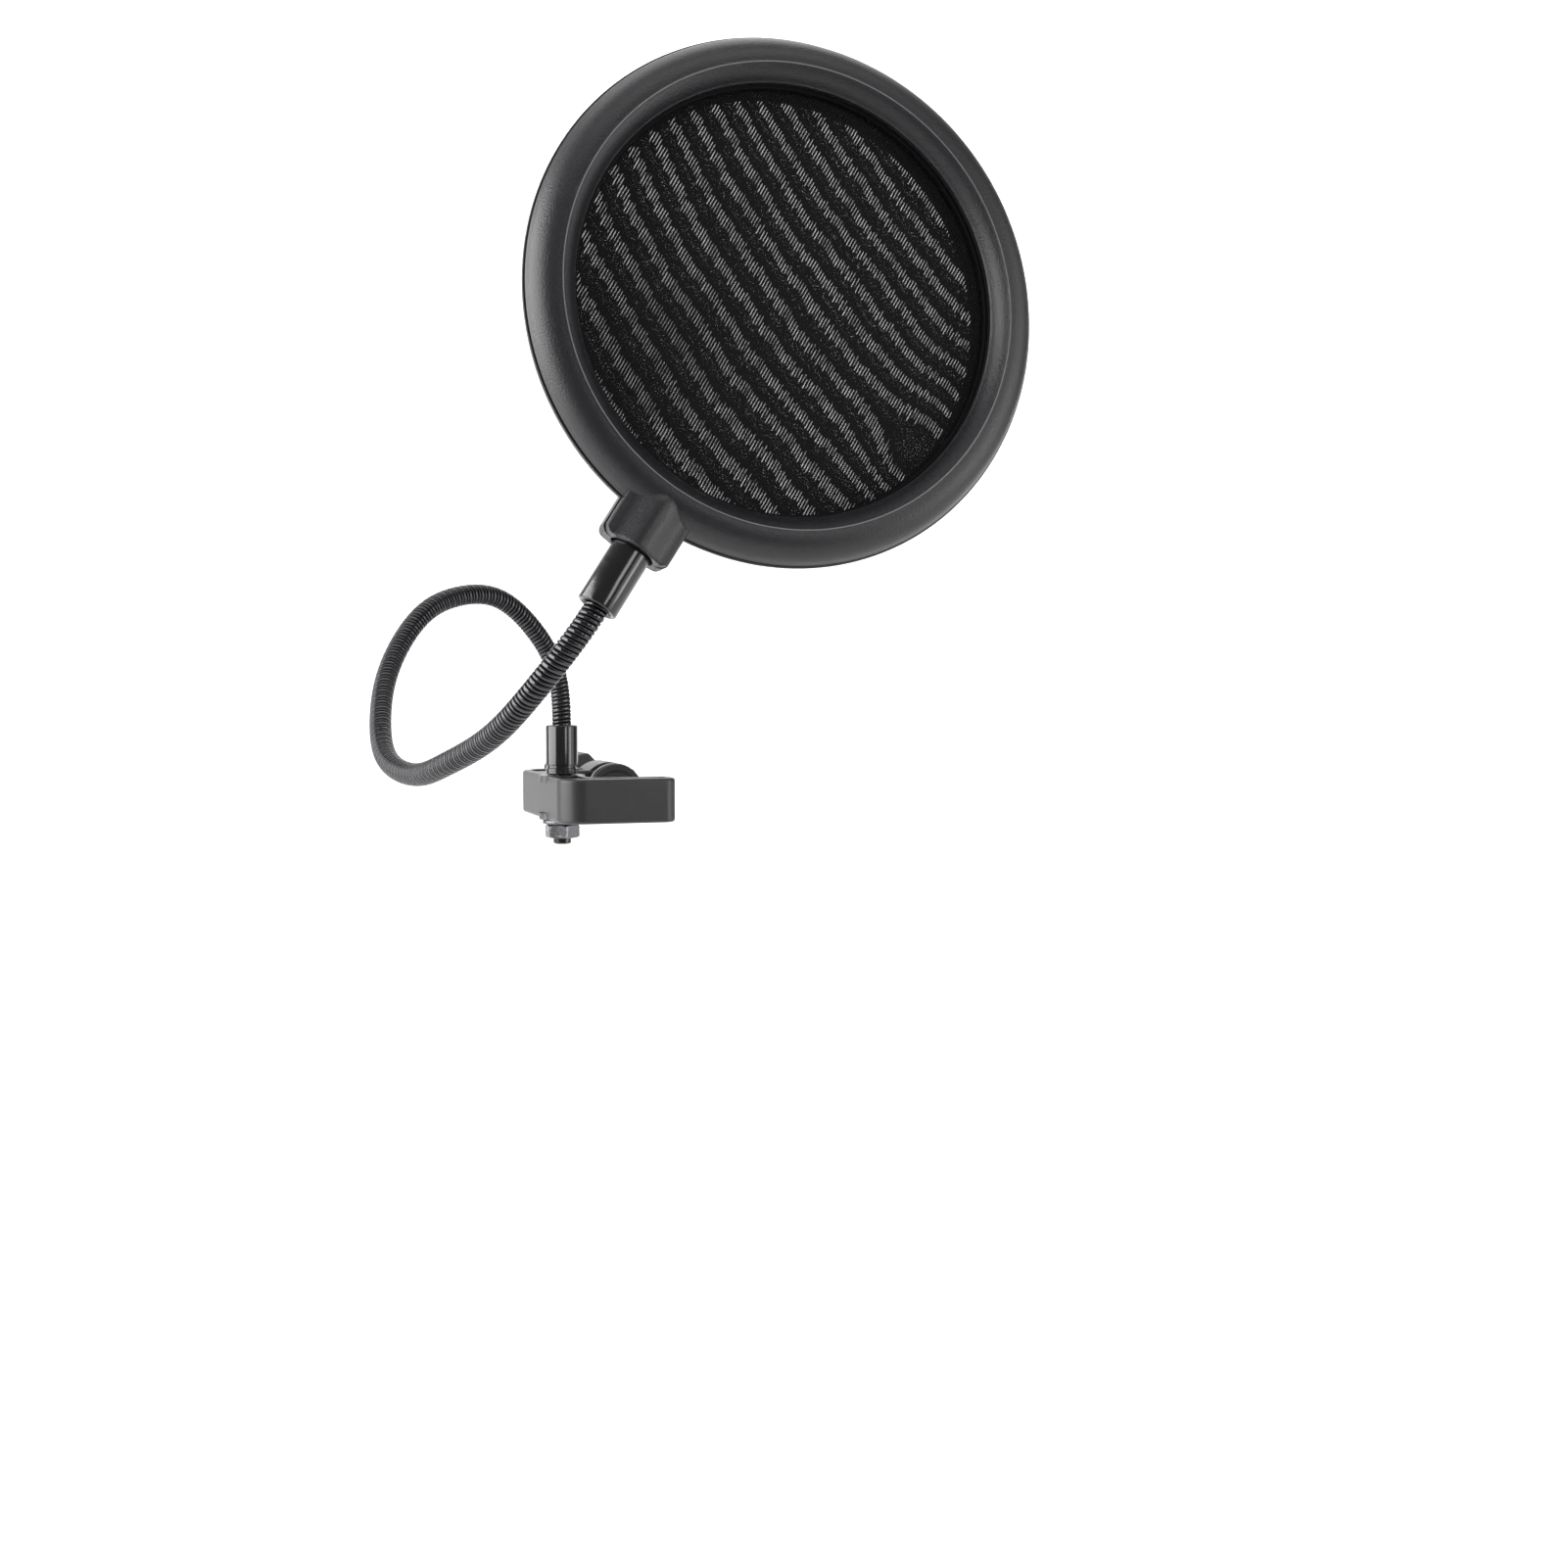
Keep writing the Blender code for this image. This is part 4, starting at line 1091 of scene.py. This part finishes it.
def makeScrew():
    look = screwSet
    low, high = look["threadSpan"]
    rows = [(look["tipSpan"][0], look["tip"] - 0.4), (look["tipSpan"][0] + 0.4, look["tip"]),
            (look["tipSpan"][1], look["tip"]), (look["tipSpan"][1] + 1.0, look["radius"] - 0.05), (low, None)]
    count = round((high - low) / look["pitch"] * look["rowsPerTurn"])
    rows += [(low + (high - low) * (index + 1) / count, None) for index in range(count)]
    rows += [(high + 0.6, look["radius"] - 0.02), (look["end"], look["radius"] - 0.02)]

    def threadRadius(height, share):
        phase = (height / look["pitch"] - share) % 1
        fade = max(0, min(1, (height - low) / look["runOut"], (high - height) / look["runOut"]))
        flank = min(1, max(0, abs(phase * 2 - 1) * look["flank"] - look["crest"]))
        return look["radius"] - look["thread"] * fade * flank

    shape = bmesh.new()
    rings = []
    for height, radius in rows:
        ring = []
        for index in range(look["sides"]):
            share = index / look["sides"]
            turn = fullTurn * index / look["sides"]
            wide = threadRadius(height, share) if radius is None else radius
            spot = (wide * math.cos(turn) * mm, wide * math.sin(turn) * mm, height * mm)
            ring.append(shape.verts.new(spot))
        rings.append(ring)
    for below, above in zip(rings, rings[1:]):
        for index in range(look["sides"]):
            after = (index + 1) % look["sides"]
            shape.faces.new((below[index], below[after], above[after], above[index]))
    shape.faces.new(rings[0])
    shape.faces.new(rings[-1])
    bmesh.ops.recalc_face_normals(shape, faces=shape.faces)
    return shadeSmooth(settle(fromShape("clampScrew", shape), alongY), 50)


fit(makeScrew(), "screw", ["clamp_screw"], screwSteel)


# fluted knob
knobSet = {"span": (84.5, 101.0), "radius": 11.0, "lobes": 10, "lobeDepth": 0.9, "points": 160,
           "rim": 1.3, "hole": 4.0, "holeEnd": 97.5, "dish": (7.2, 0.9)}


def makeKnob():
    look = knobSet
    low, high = look["span"]
    outline = []
    for index in range(look["points"]):
        turn = fullTurn * index / look["points"]
        wide = look["radius"] - look["lobeDepth"] * (1 - math.cos(look["lobes"] * turn)) / 2
        outline.append((wide * math.cos(turn), wide * math.sin(turn)))
    piece = plate("knob", outline, low, high)
    softenEdges(piece, look["rim"] * mm, 5, 50)
    wide, deep = look["dish"]
    dish = [(0, high - deep), (wide - 1.2, high - deep), (wide, high + 0.2), (wide, high + 3), (0, high + 3)]
    combineTurned(piece, "dishCutter", dish, 72, "DIFFERENCE")
    hole = [(0, low - 3), (look["hole"] + 0.5, low - 3), (look["hole"] + 0.5, low), (look["hole"], low + 0.5),
            (look["hole"], look["holeEnd"]), (0, look["holeEnd"])]
    combineTurned(piece, "holeCutter", hole, 64, "DIFFERENCE")
    return evenShading(settle(piece, alongY), 40)


fit(makeKnob(), "screw", ["knob"], knobPlastic)
print("screw and knob made")


# swivel foot and its rubber face
footSet = {"plate": 32.3, "radius": 9.5, "collar": 5.8, "collarEnd": 38.8, "bore": 3.0, "floor": 35.0,
           "pad": (30.0, 32.0), "padRadius": 9.2, "rings": (3.0, 5.0, 7.0), "ringDepth": 0.4}


def makeFoot():
    look = footSet
    low, wide, collar, end, bore = (look[key] for key in ("plate", "radius", "collar", "collarEnd", "bore"))
    outline = [(0, low), (wide - 0.2, low), (wide, low + 0.2), (wide, low + 1.5), (wide - 0.3, low + 1.95),
               (wide - 0.8, low + 2.2), (collar + 0.9, low + 2.45), (collar + 0.25, low + 2.7),
               (collar, low + 3.4), (collar, end - 0.5), (collar - 0.5, end), (bore + 0.4, end),
               (bore, end - 0.4), (bore, look["floor"]), (0, look["floor"])]
    return turned("pressureFoot", outline, 96, alongY, 40)


def makeFootPad():
    look = footSet
    (low, high), wide, deep = look["pad"], look["padRadius"], look["ringDepth"]
    outline = [(0, low)]
    for middle in look["rings"]:
        outline += [(middle - 0.45, low), (middle - 0.25, low + deep), (middle + 0.25, low + deep),
                    (middle + 0.45, low)]
    outline += [(wide - 0.5, low)] + arcPoints((wide - 0.5, low + 0.5), (0.5, 0.5), -70, 0, 4)
    outline += [(wide, high - 0.15), (wide - 0.15, high), (0, high)]
    return turned("footPad", outline, 96, alongY, 30)


fit(makeFoot(), "foot", ["pressure_foot"], screwSteel)
fit(makeFootPad(), "foot", ["foot_pad"], gripRubber)


# spring washer and nut on the stud
nutSet = {"washer": (3.2, 6.2, -8.5, -7.3), "split": 0.7, "flats": 10.0, "span": (-13.0, -8.8), "bore": 3.2,
          "chamfer": 0.9, "washerEdge": 0.15, "splitTurn": 35}


def makeWasher():
    bore, wide, low, high = nutSet["washer"]
    edge = nutSet["washerEdge"]
    corners = [(bore, low), (wide, low), (wide, high), (bore, high)]
    outline = roundedCorners([(x, y, edge) for x, y in corners], 2)
    piece = spun("lockWasher", outline, 96, closed=True)
    clearSelection()
    middle = (-(bore + wide) / 2 * mm, 0, (low + high) / 2 * mm)
    bpy.ops.mesh.primitive_cube_add(size=1, location=middle,
                                    rotation=(math.radians(nutSet["splitTurn"]), 0, 0),
                                    scale=(8 * mm, nutSet["split"] * mm, 6 * mm))
    combine(piece, settle(named("splitCutter")), "DIFFERENCE")
    return shadeSmooth(settle(piece, studMatrix), 30)


def makeNut():
    low, high = nutSet["span"]
    corner, cut = nutSet["flats"] / math.sqrt(3), nutSet["chamfer"]
    clearSelection()
    bpy.ops.mesh.primitive_cylinder_add(vertices=6, radius=corner * mm, depth=(high - low) * mm,
                                        location=(0, 0, (low + high) / 2 * mm))
    piece = settle(named("lockNut"))
    face, slope = nutSet["flats"] / 2 - 0.1, cut * 0.55
    guard = [(0, low), (face, low), (face + cut, low + slope), (face + cut, high - slope),
             (face, high), (0, high)]
    combineTurned(piece, "nutGuard", guard, 96, "INTERSECT")
    bore = nutSet["bore"]
    hole = [(0, low - 1), (bore + 0.5, low - 1), (bore + 0.5, low), (bore, low + 0.5), (bore, high - 0.5),
            (bore + 0.5, high), (bore + 0.5, high + 1), (0, high + 1)]
    combineTurned(piece, "nutBore", hole, 48, "DIFFERENCE")
    return shadeSmooth(settle(piece, studMatrix), 30)


fit(makeWasher(), "clamp", ["lock_washer"], nutSteel)
fit(makeNut(), "clamp", ["lock_nut"], nutSteel)
print("foot and stud fasteners made")


# stage: pale floor running up into a backdrop, soft boxes on both sides
stageSet = {"floor": -0.151, "front": -0.42, "reach": 2.4, "back": 1.5, "height": 2.2, "bend": 0.5,
            "shade": (0.9, 0.9, 0.9)}
lightSet = {
    # place, aim, size in metres, then watts
    "leftBox": ((-1.0, -0.06, 0.38), (-0.03, -0.15, 0.12), (1.35, 0.95), 27.0),
    "rightBox": ((0.95, -0.62, 0.10), (0.0, -0.15, 0.1), (1.0, 1.3), 6.5),
    "rightStrip": ((0.85, -0.72, -0.02), (-0.03, -0.15, 0.07), (0.2, 0.5), 1.6),
    "frontBox": ((0.34, -1.15, 0.26), (-0.04, -0.15, 0.07), (0.22, 0.5), 1.9),
    "topBox": ((0.1, -0.7, 1.1), (0.0, -0.1, 0.0), (1.2, 0.5), 4.0),
    "backBox": ((0.1, 0.6, 1.5), (0.0, 0.9, -0.15), (2.0, 1.2), 14.0),
    "wallBox": ((1.05, 0.75, 1.05), (1.2, 1.5, 0.2), (1.6, 0.5), 15.0),
}
skySet = {"seen": 0.97, "lit": 0.21}


def makeStage():
    look = stageSet
    bend = look["bend"]
    sweep = [(look["front"], look["floor"]), (look["back"] - bend, look["floor"])]
    sweep += arcPoints((look["back"] - bend, look["floor"] + bend), (bend, bend), -80, 0, 8)
    sweep += [(look["back"], look["height"])]
    piece = drawOutline("studioSweep", [(0, y, z) for y, z in sweep], closed=False)
    selectAll()
    pull((2 * look["reach"], 0, 0))
    selectAll()
    bpy.ops.transform.translate(value=(-look["reach"], 0, 0))
    bpy.ops.object.mode_set(mode="OBJECT")
    material, tree, shader, spot = startFinish("studioPaper")
    grain = useGroup(tree, grainGroup, spot, Scale=800.0, Cloud=2.0)
    base = mixColour(tree, grain["Cloudy"], look["shade"], tuple(value * 0.98 for value in look["shade"]))
    tree.links.new(base, shader.inputs["Base Color"])
    shader.inputs["Roughness"].default_value = 0.9
    coat(piece, material)
    shadeSmooth(piece, 60)


def addLights():
    for name, (place, aim, size, power) in lightSet.items():
        data = bpy.data.lights.new(name, "AREA")
        data.shape = "RECTANGLE"
        data.size, data.size_y = size
        data.energy = power
        lamp = bpy.data.objects.new(name, data)
        bpy.context.scene.collection.objects.link(lamp)
        lamp.location = place
        away = Vector(aim) - lamp.location
        lamp.rotation_euler = away.to_track_quat("-Z", "Y").to_euler()
    world = bpy.data.worlds.new("studioWorld")
    world.use_nodes = True
    tree = world.node_tree
    rays = tree.nodes.new("ShaderNodeLightPath")
    strength = spread(tree, rays.outputs["Is Camera Ray"], skySet["lit"], skySet["seen"])
    tree.links.new(strength, tree.nodes["Background"].inputs["Strength"])
    tree.nodes["Background"].inputs["Color"].default_value = (1, 1, 1, 1)
    bpy.context.scene.world = world
    bpy.context.scene.view_settings.view_transform = "Standard"


makeStage()
addLights()
print("stage and lights set")
